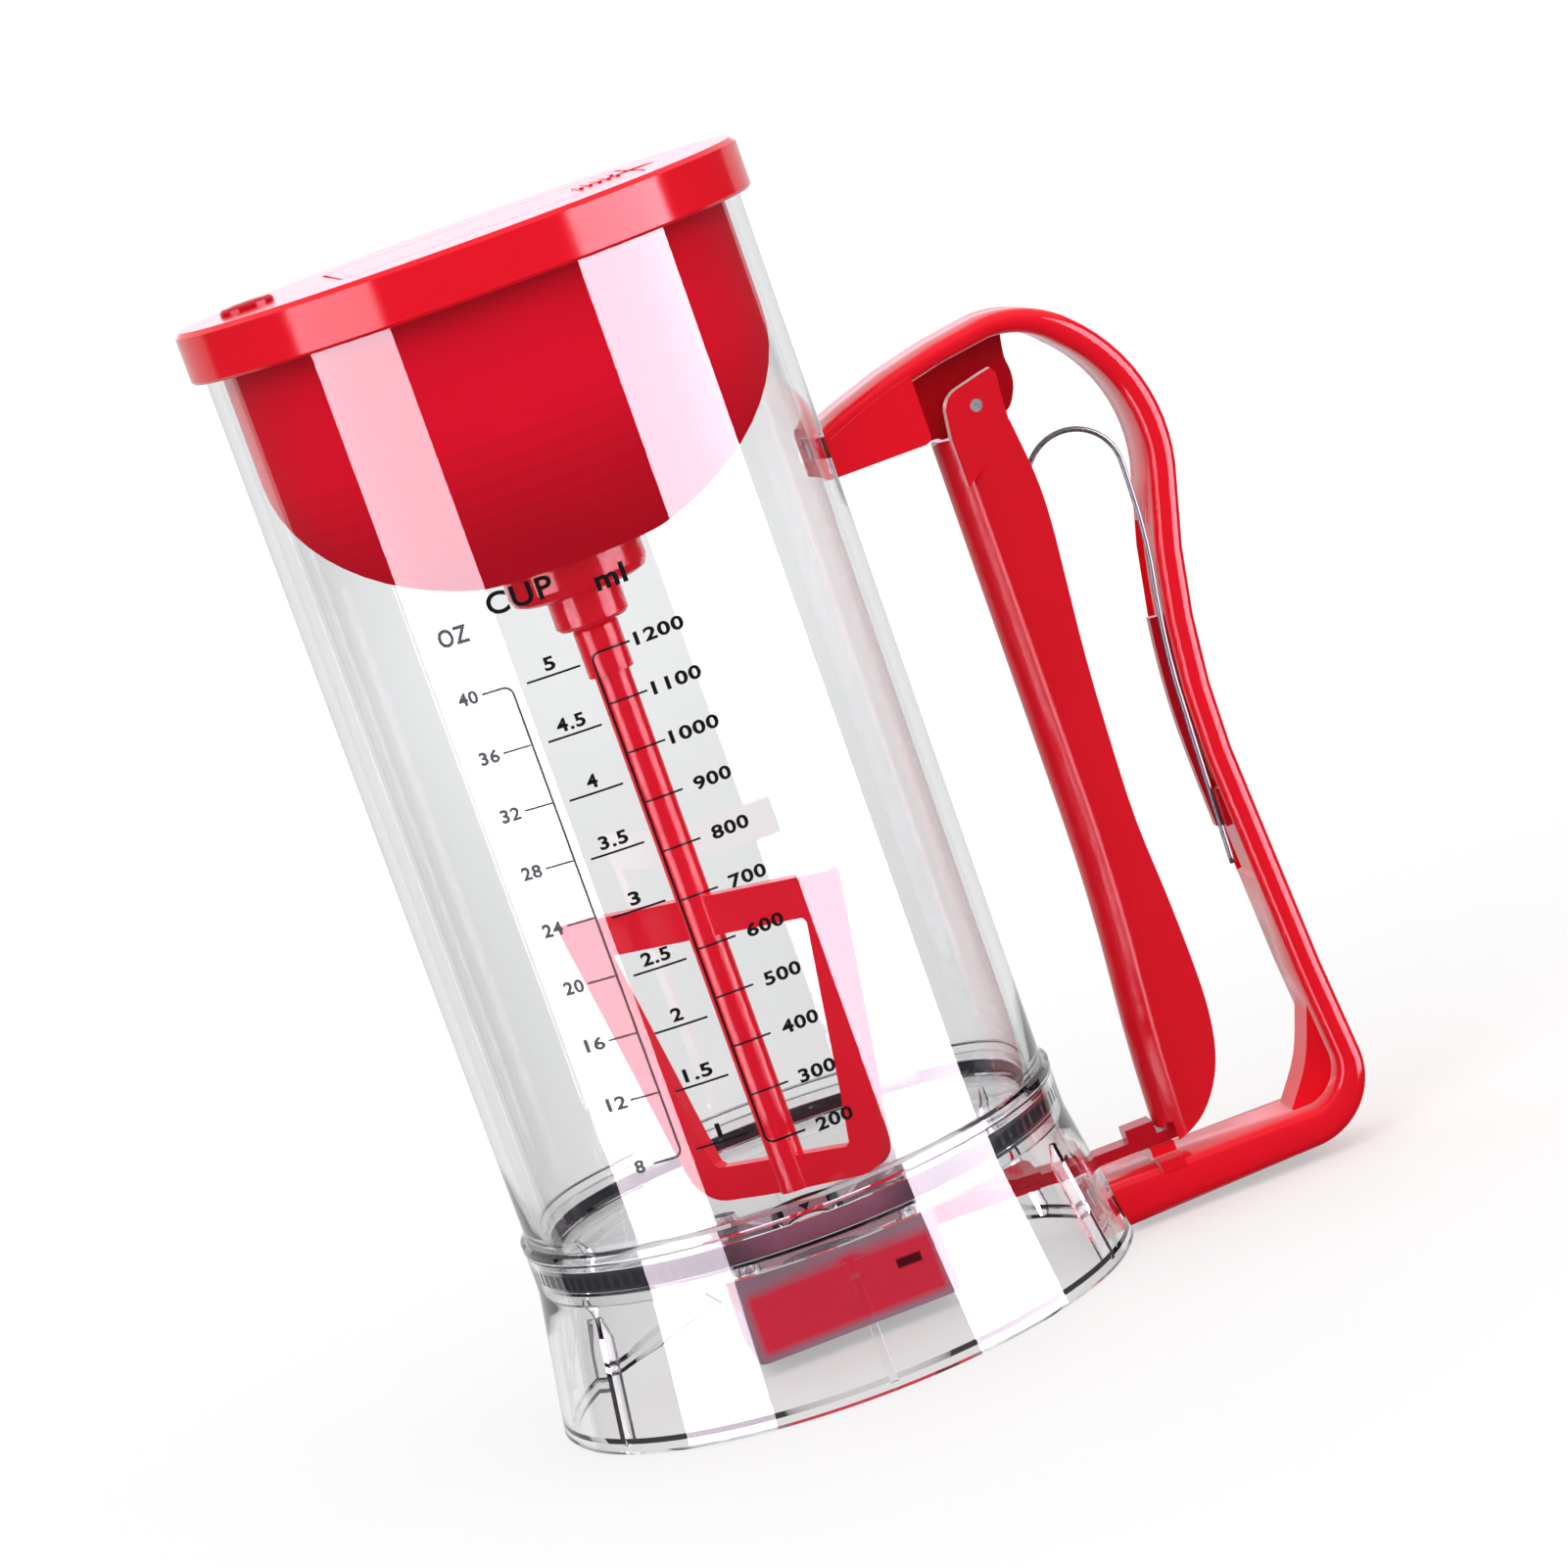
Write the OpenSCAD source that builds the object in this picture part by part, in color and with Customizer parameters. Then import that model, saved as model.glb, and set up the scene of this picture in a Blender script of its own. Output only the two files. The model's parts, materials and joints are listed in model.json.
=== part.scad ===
// Battery powered pancake batter mixer and dispenser: a clear measuring jug on a flared foot,
// a press-on lid that carries the motor and its paddle, and a D handle whose trigger pulls a
// sliding valve open under the funnel floor.
// Origin: centre of the foot on the table. Z up, handle along +X, measuring scale on -Y.

/* [Jug] */
// Outer radius at the rim
jug_r = 58.2; // [55.5:0.1:66]
// How much smaller the outer radius is at the foot of the wall
jug_draft = 0.8; // [0:0.1:2]
// Wall thickness of the jug
jug_wall = 2.3; // [1.6:0.1:3.2]
// Height of the straight wall above the joint flange
jug_h = 200; // [180:1:230]
// Depth of the funnel floor below the joint
funnel_drop = 9.6; // [6:0.2:12]
// Radius of the batter outlet
outlet_r = 6; // [4:0.1:6.4]

/* [Foot] */
// Height of the flared foot below the collar
skirt_h = 31; // [29:0.5:36]
// Outer radius on the table
skirt_r = 63.7; // [60:0.1:72]
// Wall thickness of the foot
skirt_wall = 2; // [1.4:0.1:2.8]
// Height of the collar round the jug's spigot
collar_h = 9; // [8:0.5:12]
// Number of inner ribs
rib_n = 6; // [4:2:8]
// How far a rib stands in from the wall
rib_d = 2.4; // [1.5:0.1:3.5]

/* [Lid] */
// Wall of the lid's rim
rim_wall = 2.5; // [1.9:0.1:4]
// Thickness of the lid's top
lid_t = 2.3; // [1.8:0.1:3]
// Height of the rim
rim_h = 11; // [8:0.5:16]
// Clearance of the motor bowl in the jug
bowl_gap = 1.2; // [1:0.1:2.5]
// Wall thickness of the motor bowl
bowl_wall = 2; // [1.5:0.1:2.5]
// Depth of the bowl below the lid's top
bowl_depth = 70; // [66:0.5:76]
// Radius of the large nose step
nose_r = 15.1; // [13:0.1:18]
// Radius of the small nose step
neck_r = 7.9; // [6.5:0.1:9]

/* [Battery bay] */
// Diameter of one cell
cell_d = 14.5; // [14:0.1:14.5]
// Length of one cell
cell_l = 50.5; // [49:0.1:50.5]
// Place of the bay along X
bay_x = 6; // [4:0.5:8]
// Wall of the battery tray
tray_wall = 1.4; // [1:0.1:1.6]

/* [Switch] */
// Place of the push button along X
switch_x = -45; // [-46:0.5:-43]
// Radius of the push button
button_r = 5.8; // [5:0.1:6.2]
// How far the button stands above the lid
button_up = 1.4; // [1.2:0.1:3]
// Travel of the button
button_travel = 1; // [0.6:0.1:1]

/* [Drive] */
// Radius of the motor can
motor_r = 12; // [10:0.1:12]
// Length of the motor can
motor_l = 31; // [27:0.5:32]
// Radius of the steel spindle
spindle_r = 1.5; // [1:0.1:1.6]
// Radius of the paddle's shaft
shaft_r = 3.8; // [3.2:0.1:4.4]
// Half width of the paddle at its top
paddle_top = 39; // [30:0.5:46]
// Half width of the paddle at its foot
paddle_low = 26; // [20:0.5:32]
// Height of the paddle frame
paddle_h = 68; // [50:1:80]
// Width of the frame's bars
paddle_bar = 8.6; // [6:0.2:10]
// Thickness of the frame
paddle_t = 3; // [2:0.1:4]
// Turn of the paddle at rest
paddle_turn = -47; // [-90:1:90]

/* [Handle] */
// Width of the handle
grip_w = 24; // [22:0.5:30]
// Thickness of the grip band
grip_t = 5.8; // [4.6:0.1:7]
// How far the grip is moved away from the jug
grip_out = 0; // [0:0.5:12]
// Half width of the lug between the trigger's ears
lug_w = 5; // [4:0.1:5.5]

/* [Trigger] */
// Place of the hinge pin along X
pin_x = 89.3; // [88.8:0.1:89.8]
// Height of the hinge pin
pin_z = 175.5; // [175:0.5:176]
// Radius of the hinge pin
pin_r = 1.3; // [1.2:0.1:1.6]
// Half width of the trigger
trigger_w = 9.2; // [8.6:0.1:10.5]
// Wall of the trigger
trigger_wall = 2.2; // [1.6:0.1:2.2]
// Radius of the return spring's wire
wire_r = 0.6; // [0.4:0.05:0.8]

/* [Valve] */
// Thickness of the sliding gate
gate_t = 3.4; // [2.4:0.1:3.6]
// Half width of the sliding gate
gate_w = 9.2; // [8.6:0.1:9.6]
// Travel of the gate from shut to open
gate_travel = 13.8; // [13:0.1:13.9]
// Half width of the pull rod
rod_w = 3.3; // [2.6:0.1:4]
// Thickness of the pull rod
rod_t = 2.4; // [2:0.1:2.6]

/* [Hidden] */
$fn = 96;
fit = 0.05;              // running clearance of pins and shafts
gap = 0.3;               // clearance between moving pieces
e = 0.01;

// levels of the foot and the jug
collar_z = skirt_h;
flange_z = collar_z + collar_h;
flange_h = 2.4;
wall_z = flange_z + flange_h;
rim_z = wall_z + jug_h;
jug_foot_r = jug_r - jug_draft;
flange_r = jug_foot_r + 1.4;
land_r = jug_foot_r - 0.4;
groove_r = land_r - 1.1;
groove_z = collar_z + 2.5;
groove_h = 4.6;
throat_r = groove_r - 1.5;
floor_t = 2.25;
funnel_z = collar_z + 3.6;
well_z = funnel_z - funnel_drop;
tube_r = outlet_r + 2.4;
tube_z = 19;

// levels of the lid
lid_z = rim_z + gap;
top_z = lid_z + lid_t;
rim_in = jug_r + gap;
lid_r = rim_in + rim_wall;
bowl_r = jug_r - jug_wall - bowl_gap;
bowl_z = top_z - bowl_depth;
bowl_side = 34.7;        // how far the bowl's straight side reaches below the lid's top
bowl_c = top_z - bowl_side;
bowl_b = (bowl_depth - bowl_side) / 0.917;
bowl_in = bowl_r - bowl_wall;
nose_z = bowl_z - 7.5;
neck_z = nose_z - 7.5;
motor_z = bowl_z + 3;
motor_top = motor_z + motor_l;
clamp_y = 19;
clamp_t = 3;

// battery bay
bay_l = 4 * (cell_d + 0.1) + 0.6;
bay_w = cell_l + 2.5;
bay_h = cell_d + 1.2;
lip = 1.8;
flange_t = 1.4;
hatch_t = 2.4;
tray_z = top_z - hatch_t - 0.2 - flange_t - bay_h - tray_wall + 1.2;
tray_top = top_z - hatch_t - 0.2;
open_l = bay_l + 2 * (tray_wall + lip) + 0.6;
open_w = bay_w + 2 * (tray_wall + lip) + 0.6;
open_c = 5;
screw_dx = cell_d + 0.1;
screw_dy = 16;

// switch
board_z = top_z - 17.6;
board_t = 1.6;
post_y = 10.2;

// paddle
collar_r = shaft_r + 1.1;
drive_z = neck_z - 0.3;
drive_l = 10.7;
paddle_z = well_z + 5.5;

// handle
side = grip_w / 2;
arm_z = 171.6;
arm_x = 77.85;
low_top = 10.8;
boss_w = 8;
boss_z = arm_z + 4;
boss_h = 4.6;
boss_out = jug_r + 11.6;
lug_low = 171.4;
nose_top = 170.4;
channel_d = 1.5;
ear_in = lug_w + gap;

// trigger foot and pull rod
rod_z = 14.2;
rod_top = rod_z + rod_t;
edge_r = 1.1;
edge_x = 76.6;
edge_z = rod_top + 1.9;
lug_top = edge_z + 0.9;
rod_end = edge_x + edge_r + 3.5;
lug_left = 69;

// valve
gate_z = 13.5;
seal_z = gate_z + gate_t + gap;
seal_r = outlet_r + 1.9;
box_x0 = -(gate_travel + outlet_r + 1.1);
box_x1 = outlet_r + 2 + gate_travel + 0.2 + 1.9;
box_y = 15;
box_z = 3;
box_top = 21;
box_wall = 1.8;
shelf_z = gate_z - 0.1 - 2.4;
shoulder = outlet_r + 2;
tail_w = 3.2;
lap_x = 42;
lap_l = 6.4;
valve_screw = [[box_x0 + 4.4, 12.3], [box_x1 - 4.4, 12.3]];

red = [0.86, 0.1, 0.16];
deep = [0.62, 0.06, 0.1];
clear = [0.86, 0.9, 0.93, 0.35];
dark = [0.13, 0.13, 0.14];
steel = [0.75, 0.76, 0.78];

// ---- curves ----

function mix4(a, b, c, d, t) =
    0.5 * (2 * b + (c - a) * t + (2 * a - 5 * b + 4 * c - d) * t * t
    + (3 * b - a - 3 * c + d) * t * t * t);

// a smooth line through the points, n steps between each two
function curve(p, n) = [
    for (i = [0 : len(p) - 2])
        for (j = [0 : n - 1])
            mix4(p[max(i - 1, 0)], p[i], p[i + 1], p[min(i + 2, len(p) - 1)], j / n),
    p[len(p) - 1]];

// A path in X and Z is a start [x, z, heading] and a list of steps:
// [0, length] is a straight, [radius, turn] an arc, turn > 0 to the right.
function moved(q, s) = s[0] == 0
    ? [q[0] + s[1] * cos(q[2]), q[1] + s[1] * sin(q[2]), q[2]]
    : let (k = sign(s[1]), c = [q[0] + k * s[0] * sin(q[2]), q[1] - k * s[0] * cos(q[2])],
        h = q[2] - s[1])
    [c[0] - k * s[0] * sin(h), c[1] + k * s[0] * cos(h), h];

function reversed(p) = [for (i = [len(p) - 1 : -1 : 0]) p[i]];

function at_step(q, steps, n, i = 0) = i >= n ? q : at_step(moved(q, steps[i]), steps, n, i + 1);

// stations along the path, about one each `pace` millimetres of a straight or degrees of a turn
function stations(q, steps, pace, i = 0) = i >= len(steps) ? [q] :
    let (s = steps[i], n = max(1, ceil(abs(s[1]) / (s[0] == 0 ? 1e3 : pace))),
        part = [s[0], s[1] / n])
    concat([for (j = [0 : n - 1]) at_step(q, [for (k = [0 : n - 1]) part], j)],
        stations(moved(q, s), steps, pace, i + 1));

// the outline (x: to the left of the path, y: across) carried to a station
function carried(q, outline) = [for (p = outline)
    [q[0] - p[0] * sin(q[2]), p[1], q[1] + p[0] * cos(q[2])]];

// a closed skin through rings of points that all have the same count
module skin(rings) {
    n = len(rings[0]);
    m = len(rings);
    walls = [for (i = [0 : m - 2]) for (j = [0 : n - 1])
        let (a = i * n + j, b = i * n + (j + 1) % n, c = a + n, d = b + n)
        each [[a, c, d], [a, d, b]]];
    polyhedron(points = [for (r = rings) each r],
        faces = concat(walls, [[for (j = [0 : n - 1]) j]],
            [[for (j = [n - 1 : -1 : 0]) (m - 1) * n + j]]), convexity = 8);
}

// sweeps an outline, counter-clockwise as seen against the path, along the path
module swept(start, steps, outline, pace = 8) {
    skin([for (q = stations(start, steps, pace)) carried(q, outline)]);
}

// corner of an outline: a quarter round about c
function corner(c, r, from, n) = [for (i = [0 : n])
    [c[0] + r * cos(from + 90 * i / n), c[1] + r * sin(from + 90 * i / n)]];

// an outline in X and Z given a width along Y
module upright(w) {
    translate([0, w / 2, 0]) rotate([90, 0, 0]) linear_extrude(height = w) children();
}

module rounded_plate(l, w, r) {
    square([l - 2 * r, w], center = true);
    square([l, w - 2 * r], center = true);
    for (sx = [-1, 1]) for (sy = [-1, 1])
        translate([sx * (l / 2 - r), sy * (w / 2 - r)]) circle(r = r);
}

module tube(r_out, r_in, h) {
    difference() {
        cylinder(r = r_out, h = h);
        translate([0, 0, -1]) cylinder(r = r_in, h = h + 2);
    }
}

// a screw standing head down or up: shank along +Z from the head's seat
module screw(head_r, head_h, shank_r, shank_l) {
    difference() {
        translate([0, 0, -head_h]) cylinder(r = head_r, h = head_h);
        translate([0, 0, -head_h - e]) for (a = [0, 90])
            rotate(a) translate([-head_r * 0.6, -0.35, 0])
                cube([head_r * 1.2, 0.7, head_h * 0.5]);
    }
    translate([0, 0, -e]) cylinder(r = shank_r, h = shank_l - 0.8);
    translate([0, 0, shank_l - 0.8 - 2 * e]) cylinder(r1 = shank_r, r2 = 0.3, h = 0.8);
}

// round wire through points, with ball joints at the bends
module wire(p, r) {
    for (i = [0 : len(p) - 2]) {
        d = p[i + 1] - p[i];
        translate(p[i]) rotate([0, acos(d[2] / norm(d)), atan2(d[1], d[0])])
            cylinder(r = r, h = norm(d));
    }
    for (i = [1 : len(p) - 2]) translate(p[i]) sphere(r = r * 1.06, $fn = 24);
}

// ---- jug and foot ----

module jug() {
    color(clear) difference() {
        union() {
            rotate_extrude() polygon([
                [outlet_r, tube_z], [tube_r, tube_z],
                [tube_r, well_z - floor_t + 0.6],
                [throat_r, funnel_z - floor_t],
                [throat_r + 0.4, collar_z - 0.6], [land_r, collar_z - 0.6],
                [land_r, groove_z], [groove_r, groove_z],
                [groove_r, groove_z + groove_h], [land_r, groove_z + groove_h],
                [land_r, flange_z], [flange_r, flange_z],
                [flange_r, wall_z - 0.7], [flange_r - 0.7, wall_z], [jug_foot_r, wall_z],
                [jug_r, rim_z - 0.6], [jug_r - 0.6, rim_z], [jug_r - jug_wall + 0.6, rim_z],
                [jug_r - jug_wall, rim_z - 0.6],
                [jug_foot_r - jug_wall, wall_z + 2], [throat_r, wall_z - 3],
                [throat_r, funnel_z + 1.2], [throat_r - 1.2, funnel_z],
                [outlet_r + 1.2, well_z + 0.3], [outlet_r, well_z - 1]]);
            // tongue that carries the handle
            translate([jug_r - 1.4, -boss_w, boss_z])
                cube([boss_out - jug_r + 1.4, 2 * boss_w, boss_h]);
            // bosses for the valve housing
            for (p = valve_screw) for (s = [-1, 1])
                translate([p[0], s * p[1], box_top]) cylinder(r = 2.6, h = well_z - box_top + 2);
        }
        for (p = valve_screw) for (s = [-1, 1])
            translate([p[0], s * p[1], box_top - 1]) cylinder(r = 1 + fit, h = 4.2);
        translate([jug_r + 5.8, 0, boss_z - 1]) cylinder(r = 1.25 + fit, h = boss_h + 2);
    }
}

// outer radius of the jug's wall
function jug_at(z) = jug_foot_r + jug_draft * (z - wall_z) / (jug_h - 0.6);

function skirt_at(z) = flange_r - 0.2 + (skirt_r - flange_r + 0.2) * (skirt_h - z) / (skirt_h - 0.8);

module base_skirt() {
    color(clear) difference() {
        union() {
            rotate_extrude() polygon([
                [skirt_r - 0.6, 0], [skirt_r, 0.8], [skirt_at(skirt_h - 1), skirt_h - 1],
                [flange_r - 0.2, collar_z + 0.6],
                [flange_r - 0.2, flange_z - 0.5], [flange_r - 0.5, flange_z - 0.1],
                [land_r + 0.1, flange_z - 0.1], [land_r + 0.1, collar_z - 0.8],
                [skirt_at(skirt_h - 4) - skirt_wall, skirt_h - 4],
                [skirt_at(3) - skirt_wall, 3],
                [skirt_at(2) - skirt_wall - 0.9, 1.6], [skirt_at(0) - skirt_wall - 0.9, 0]]);
            // ribs inside the flare
            for (i = [0 : rib_n - 1]) rotate([0, 0, i * 360 / rib_n + 30])
                upright(1.6) polygon([
                    [skirt_at(1.5) - 1, 1.2], [skirt_at(skirt_h - 3) - 1, skirt_h - 3],
                    [skirt_at(skirt_h - 3) - skirt_wall - 0.6, skirt_h - 3],
                    [skirt_at(skirt_h - 8) - skirt_wall - rib_d, skirt_h - 8],
                    [skirt_at(1.5) - skirt_wall - rib_d, 1.2]]);
            // tongue that carries the handle's lower arm
            translate([skirt_at(6) - 1, -boss_w, 4.7]) cube([10.4, 2 * boss_w, 4]);
        }
        // way out of the pull rod
        translate([skirt_r - 10, -rod_w - 1, rod_z - 0.9])
            cube([14, 2 * rod_w + 2, rod_t + 1.8]);
        translate([skirt_at(6) + 4.6, 0, 3]) cylinder(r = 1.25 + fit, h = 8);
    }
}

module seal_ring() {
    color(dark) rotate_extrude()
        polygon([
            [groove_r, groove_z + 0.1], [land_r - 0.2, groove_z + 0.1],
            [land_r + 0.1, groove_z + 0.9], [land_r + 0.1, groove_z + groove_h - 0.9],
            [land_r - 0.2, groove_z + groove_h - 0.1], [groove_r, groove_z + groove_h - 0.1]]);
}

// ---- valve under the funnel ----

module valve_housing() {
    lx = box_x1 - box_x0;
    cx = (box_x1 + box_x0) / 2;
    color(deep) difference() {
        union() {
            translate([cx, 0, box_z]) linear_extrude(height = box_top - box_z)
                rounded_plate(lx, 2 * box_y, 2.5);
        }
        // skirted underside round the nozzle
        difference() {
            translate([cx, 0, box_z - 1]) linear_extrude(height = shelf_z - box_z + 1)
                rounded_plate(lx - 2 * box_wall, 2 * (box_y - box_wall), 1.4);
            translate([0, 0, box_z - 2]) cylinder(r = outlet_r + 2.2, h = 30);
            for (p = valve_screw) for (s = [-1, 1])
                translate([p[0], s * p[1], box_z - 2]) cylinder(r = 3, h = 30);
        }
        translate([0, 0, -1]) cylinder(r = outlet_r, h = 40);
        translate([0, 0, -1]) cylinder(r = outlet_r + 3, h = 1 + box_z + 2);
        translate([0, 0, seal_z]) cylinder(r = seal_r + fit, h = 40);
        translate([0, 0, tube_z - 0.05]) cylinder(r = tube_r + 0.1, h = 40);
        // channel of the gate, open at its back end
        translate([box_x0 - 1, -gate_w - 0.15, gate_z - 0.1])
            cube([box_x1 - 1.9 - box_x0 + 1, 2 * gate_w + 0.3, seal_z - gate_z + 0.1]);
        translate([box_x1 - 4, -tail_w - 0.2, gate_z - 0.1])
            cube([6, 2 * tail_w + 0.4, seal_z - gate_z + 0.1]);
        // bores and head seats of the screws
        for (p = valve_screw) for (s = [-1, 1]) translate([p[0], s * p[1], 0]) {
            translate([0, 0, -1]) cylinder(r = 1.15 + fit, h = 40);
            translate([0, 0, -1]) cylinder(r = 2.2, h = box_z + 3);
        }
    }
}

module valve_seal() {
    color(dark) translate([0, 0, seal_z])
        tube(seal_r, outlet_r, tube_z - seal_z);
}

module valve_screws() {
    color(steel) for (p = valve_screw) for (s = [-1, 1])
        translate([p[0], s * p[1], box_z + 2]) screw(2, 1.5, 1, box_top - box_z - 2 + 3);
}

module valve_gate() {
    color(red) difference() {
        union() {
            translate([box_x0, -gate_w, gate_z])
                cube([shoulder - box_x0, 2 * gate_w, gate_t]);
            translate([shoulder - 1, -tail_w, gate_z + 0.5])
                cube([lap_x - shoulder + 1, 2 * tail_w, gate_t - 1]);
            translate([lap_x - e, -tail_w, gate_z + 0.5])
                cube([lap_l, 2 * tail_w, 1.1]);
            translate([lap_x + lap_l / 2, 0, gate_z + 0.6])
                cylinder(r = 1.5, h = rod_top - gate_z);
        }
        translate([-gate_travel, 0, 0]) cylinder(r = outlet_r, h = 40);
        // finger scoop in the tail
        translate([(shoulder + lap_x) / 2, 0, gate_z + gate_t])
            rotate([90, 0, 0]) cylinder(r = 2, h = 20, center = true);
    }
}

module pull_rod() {
    color(red) difference() {
        union() {
            translate([lap_x + 0.1, -rod_w, gate_z + 1.7])
                cube([lap_l + 1, 2 * rod_w, rod_top - gate_z - 1.7 + 0.6]);
            translate([lap_x + lap_l + 0.1, -rod_w, rod_z])
                cube([rod_end - lap_x - lap_l - 0.1, 2 * rod_w, rod_t]);
            // lugs on both sides of the trigger's edge
            translate([lug_left, -rod_w, rod_z])
                cube([edge_x - edge_r - 0.1 - lug_left, 2 * rod_w, lug_top - rod_z]);
            translate([edge_x + edge_r + 0.1, -rod_w, rod_z])
                cube([rod_end - edge_x - edge_r - 0.1, 2 * rod_w, lug_top - rod_z]);
        }
        translate([lap_x + lap_l / 2, 0, 0]) cylinder(r = 1.5 + fit, h = 40);
    }
}

// ---- handle ----

// middle line of the band from the upper arm round to the end of the lower arm
grip_start = [53.4, 176.7, 25.2];
grip_steps = [[138, 18.5], [19.5, 49.6], [35.2 + grip_out * 0.2, 64.1], [180, -18.7],
    [816, -3.5], [0, 20.1]];
grip_corner = [12, 94.4];
grip_low = at_step(grip_start, grip_steps, len(grip_steps));
corner_end = moved(grip_low, grip_corner);
arm_half = 4.1;          // half thickness of the lower arm at the corner
arm_root = 5;            // and where it meets the foot
arm_l = corner_end[0] - skirt_at(6) + 3;

// rounded section of the band, a inward and b outward of its middle line: x outward, y across
band_w = side - 0.1;
band_in = grip_t / 2;
function band(a, b) = let (r = min(2.4, (a + b) / 2 - 0.1))
    reversed(concat(
    corner([-a + r, -band_w + r], r, 180, 3), corner([b - r, -band_w + r], r, 270, 3),
    corner([b - r, band_w - r], r, 0, 3), corner([-a + r, band_w - r], r, 90, 3)));

// rings of the band over the steps, its two offsets going from p to q
function band_rings(start, steps, p, q) =
    let (line = stations(start, steps, 5), n = len(line) - 1)
    [for (i = [0 : n]) let (h = p + (q - p) * i / n) carried(line[i], band(h[0], h[1]))];

function but_last(v) = [for (i = [0 : len(v) - 2]) v[i]];

// a point d to the right of a station, which is inside the grip's loop
function beside(q, d) = [q[0] + d * sin(q[2]), q[1] - d * cos(q[2])];

module handle() {
    bow = [grip_start, at_step(grip_start, grip_steps, 1), at_step(grip_start, grip_steps, 2)];
    color(red) difference() {
        union() {
            // band from the upper arm to the lower one: thin over the arm, thick round the corner
            skin(concat(
                but_last(band_rings(bow[0], [grip_steps[0]], [0.3, band_in + 0.6], [1, band_in + 0.5])),
                but_last(band_rings(bow[1], [grip_steps[1]], [1, band_in + 0.5], [band_in, band_in])),
                but_last(band_rings(bow[2], [for (i = [2 : 5]) grip_steps[i]],
                    [band_in, band_in], [band_in, band_in])),
                band_rings(grip_low, [grip_corner], [band_in, band_in], [arm_half, arm_half]),
                [carried(moved(corner_end, [0, arm_l]), band(arm_root, arm_root))]));
            // upper arm
            upright(grip_w - 0.2) polygon([
                [jug_r - 4, arm_z], [arm_x - 1.6, arm_z], [arm_x - 0.4, arm_z + 0.4],
                [arm_x, arm_z + 1.5], [arm_x, 186.4], [72, 184.8],
                [67, 183.2], [62, 181.3], [jug_r - 4, 178.1]]);
            // lug of the hinge pin
            upright(2 * lug_w) polygon(concat(
                [[arm_x - 1, lug_low]],
                curve([[94, lug_low], [96.5, 172.4], [98.6, 176], [99.15, 179.4], [98.85, 183],
                    [99.8, 188.6]], 3),
                [[96, 188.6], [arm_x - 1, 185.6]]));
            // web in the lower corner
            upright(grip_w * 0.46) translate([corner_end[0], corner_end[1]]) polygon(concat(
                curve([[9, 28.6], [7.3, 23.1], [3.5, 13.1], [-2.4, 4.6]], 4),
                [[-2.5, 0.6], [5.4, 2.6], [10.4, 10.6], [10.3, 29.6]]));
            // saddle under the pull rod
            translate([edge_x - 4, -band_w, low_top - 1]) cube([5.4, 2 * band_w, 2.4]);
            translate([edge_x - 4, -rod_w - 2, low_top - 1])
                cube([5.4, 2 * rod_w + 4, rod_z - low_top + 0.9]);
        }
        // seats on the jug and the foot
        translate([0, 0, arm_z - 10])
            cylinder(r1 = jug_at(arm_z - 10) + 0.05, r2 = jug_at(arm_z + 30) + 0.05, h = 40);
        rotate_extrude() polygon([
            [0, -1], [skirt_at(-1), -1], [skirt_at(16), 16], [0, 16]]);
        translate([jug_r - 2, -boss_w - 0.1, boss_z - 0.1])
            cube([boss_out - jug_r + 2.1, 2 * boss_w + 0.2, boss_h + 0.2]);
        translate([skirt_at(6) - 2, -boss_w - 0.1, 4.6])
            cube([11.6, 2 * boss_w + 0.2, 4.2]);
        // screw holes from below
        translate([jug_r + 5.8, 0, arm_z - 1]) {
            cylinder(r = 1.25 + fit, h = 5);
            cylinder(r = 2.6, h = 1 + 1.5);
        }
        translate([skirt_at(6) + 4.6, 0, 0]) {
            cylinder(r = 1.25 + fit, h = 6);
            cylinder(r = 2.6, h = 3.5);
        }
        // channel for the spring's long leg, and the bores of its keeper
        swept(moved(grip_top, [grip_face[0][0], -channel_from]),
            [[grip_face[0][0], grip_face[0][1] + channel_from], [grip_face[1][0], -2]],
            channel, 1);
        keeper_posts();
        // bore of the hinge pin
        translate([pin_x, 0, pin_z]) rotate([90, 0, 0])
            cylinder(r = pin_r, h = 30, center = true);
    }
}

module handle_screws() {
    color(steel) {
        translate([jug_r + 5.8, 0, arm_z + 1.5]) screw(2.4, 1.4, 1.25, boss_z + boss_h - arm_z - 2);
        translate([skirt_at(6) + 4.6, 0, 3.5]) screw(2.4, 1.4, 1.25, 4.7);
    }
}

module pivot_pin() {
    color(steel) translate([pin_x, 0, pin_z]) rotate([90, 0, 0])
        cylinder(r = pin_r, h = 2 * trigger_w - 0.4, center = true);
}

// points of the return spring in X and Z; its long leg follows the grip's inner face
loop_c = [105.6, 153];
loop_r = 10.3;
grip_face = [grip_steps[3], grip_steps[4]];
grip_top = at_step(grip_start, grip_steps, 3);
face_line = concat(but_last(stations(grip_top, [grip_face[0]], 2)),
    stations(moved(grip_top, grip_face[0]), [grip_face[1]], 0.6));
function leg_at(q) = band_in - channel_d + wire_r + 0.2 + max(0, 98 - q[1]) * 0.065;
spring_low = concat([[loop_c[0] + loop_r, loop_c[1]], [115.8, 146], [115.5, 138.5]],
    [for (q = face_line) if (q[1] < 132 && q[1] > 60) beside(q, leg_at(q))]);
spring_high = [loop_c + loop_r * [cos(150), sin(150)], [82.4, 133]];

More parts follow.
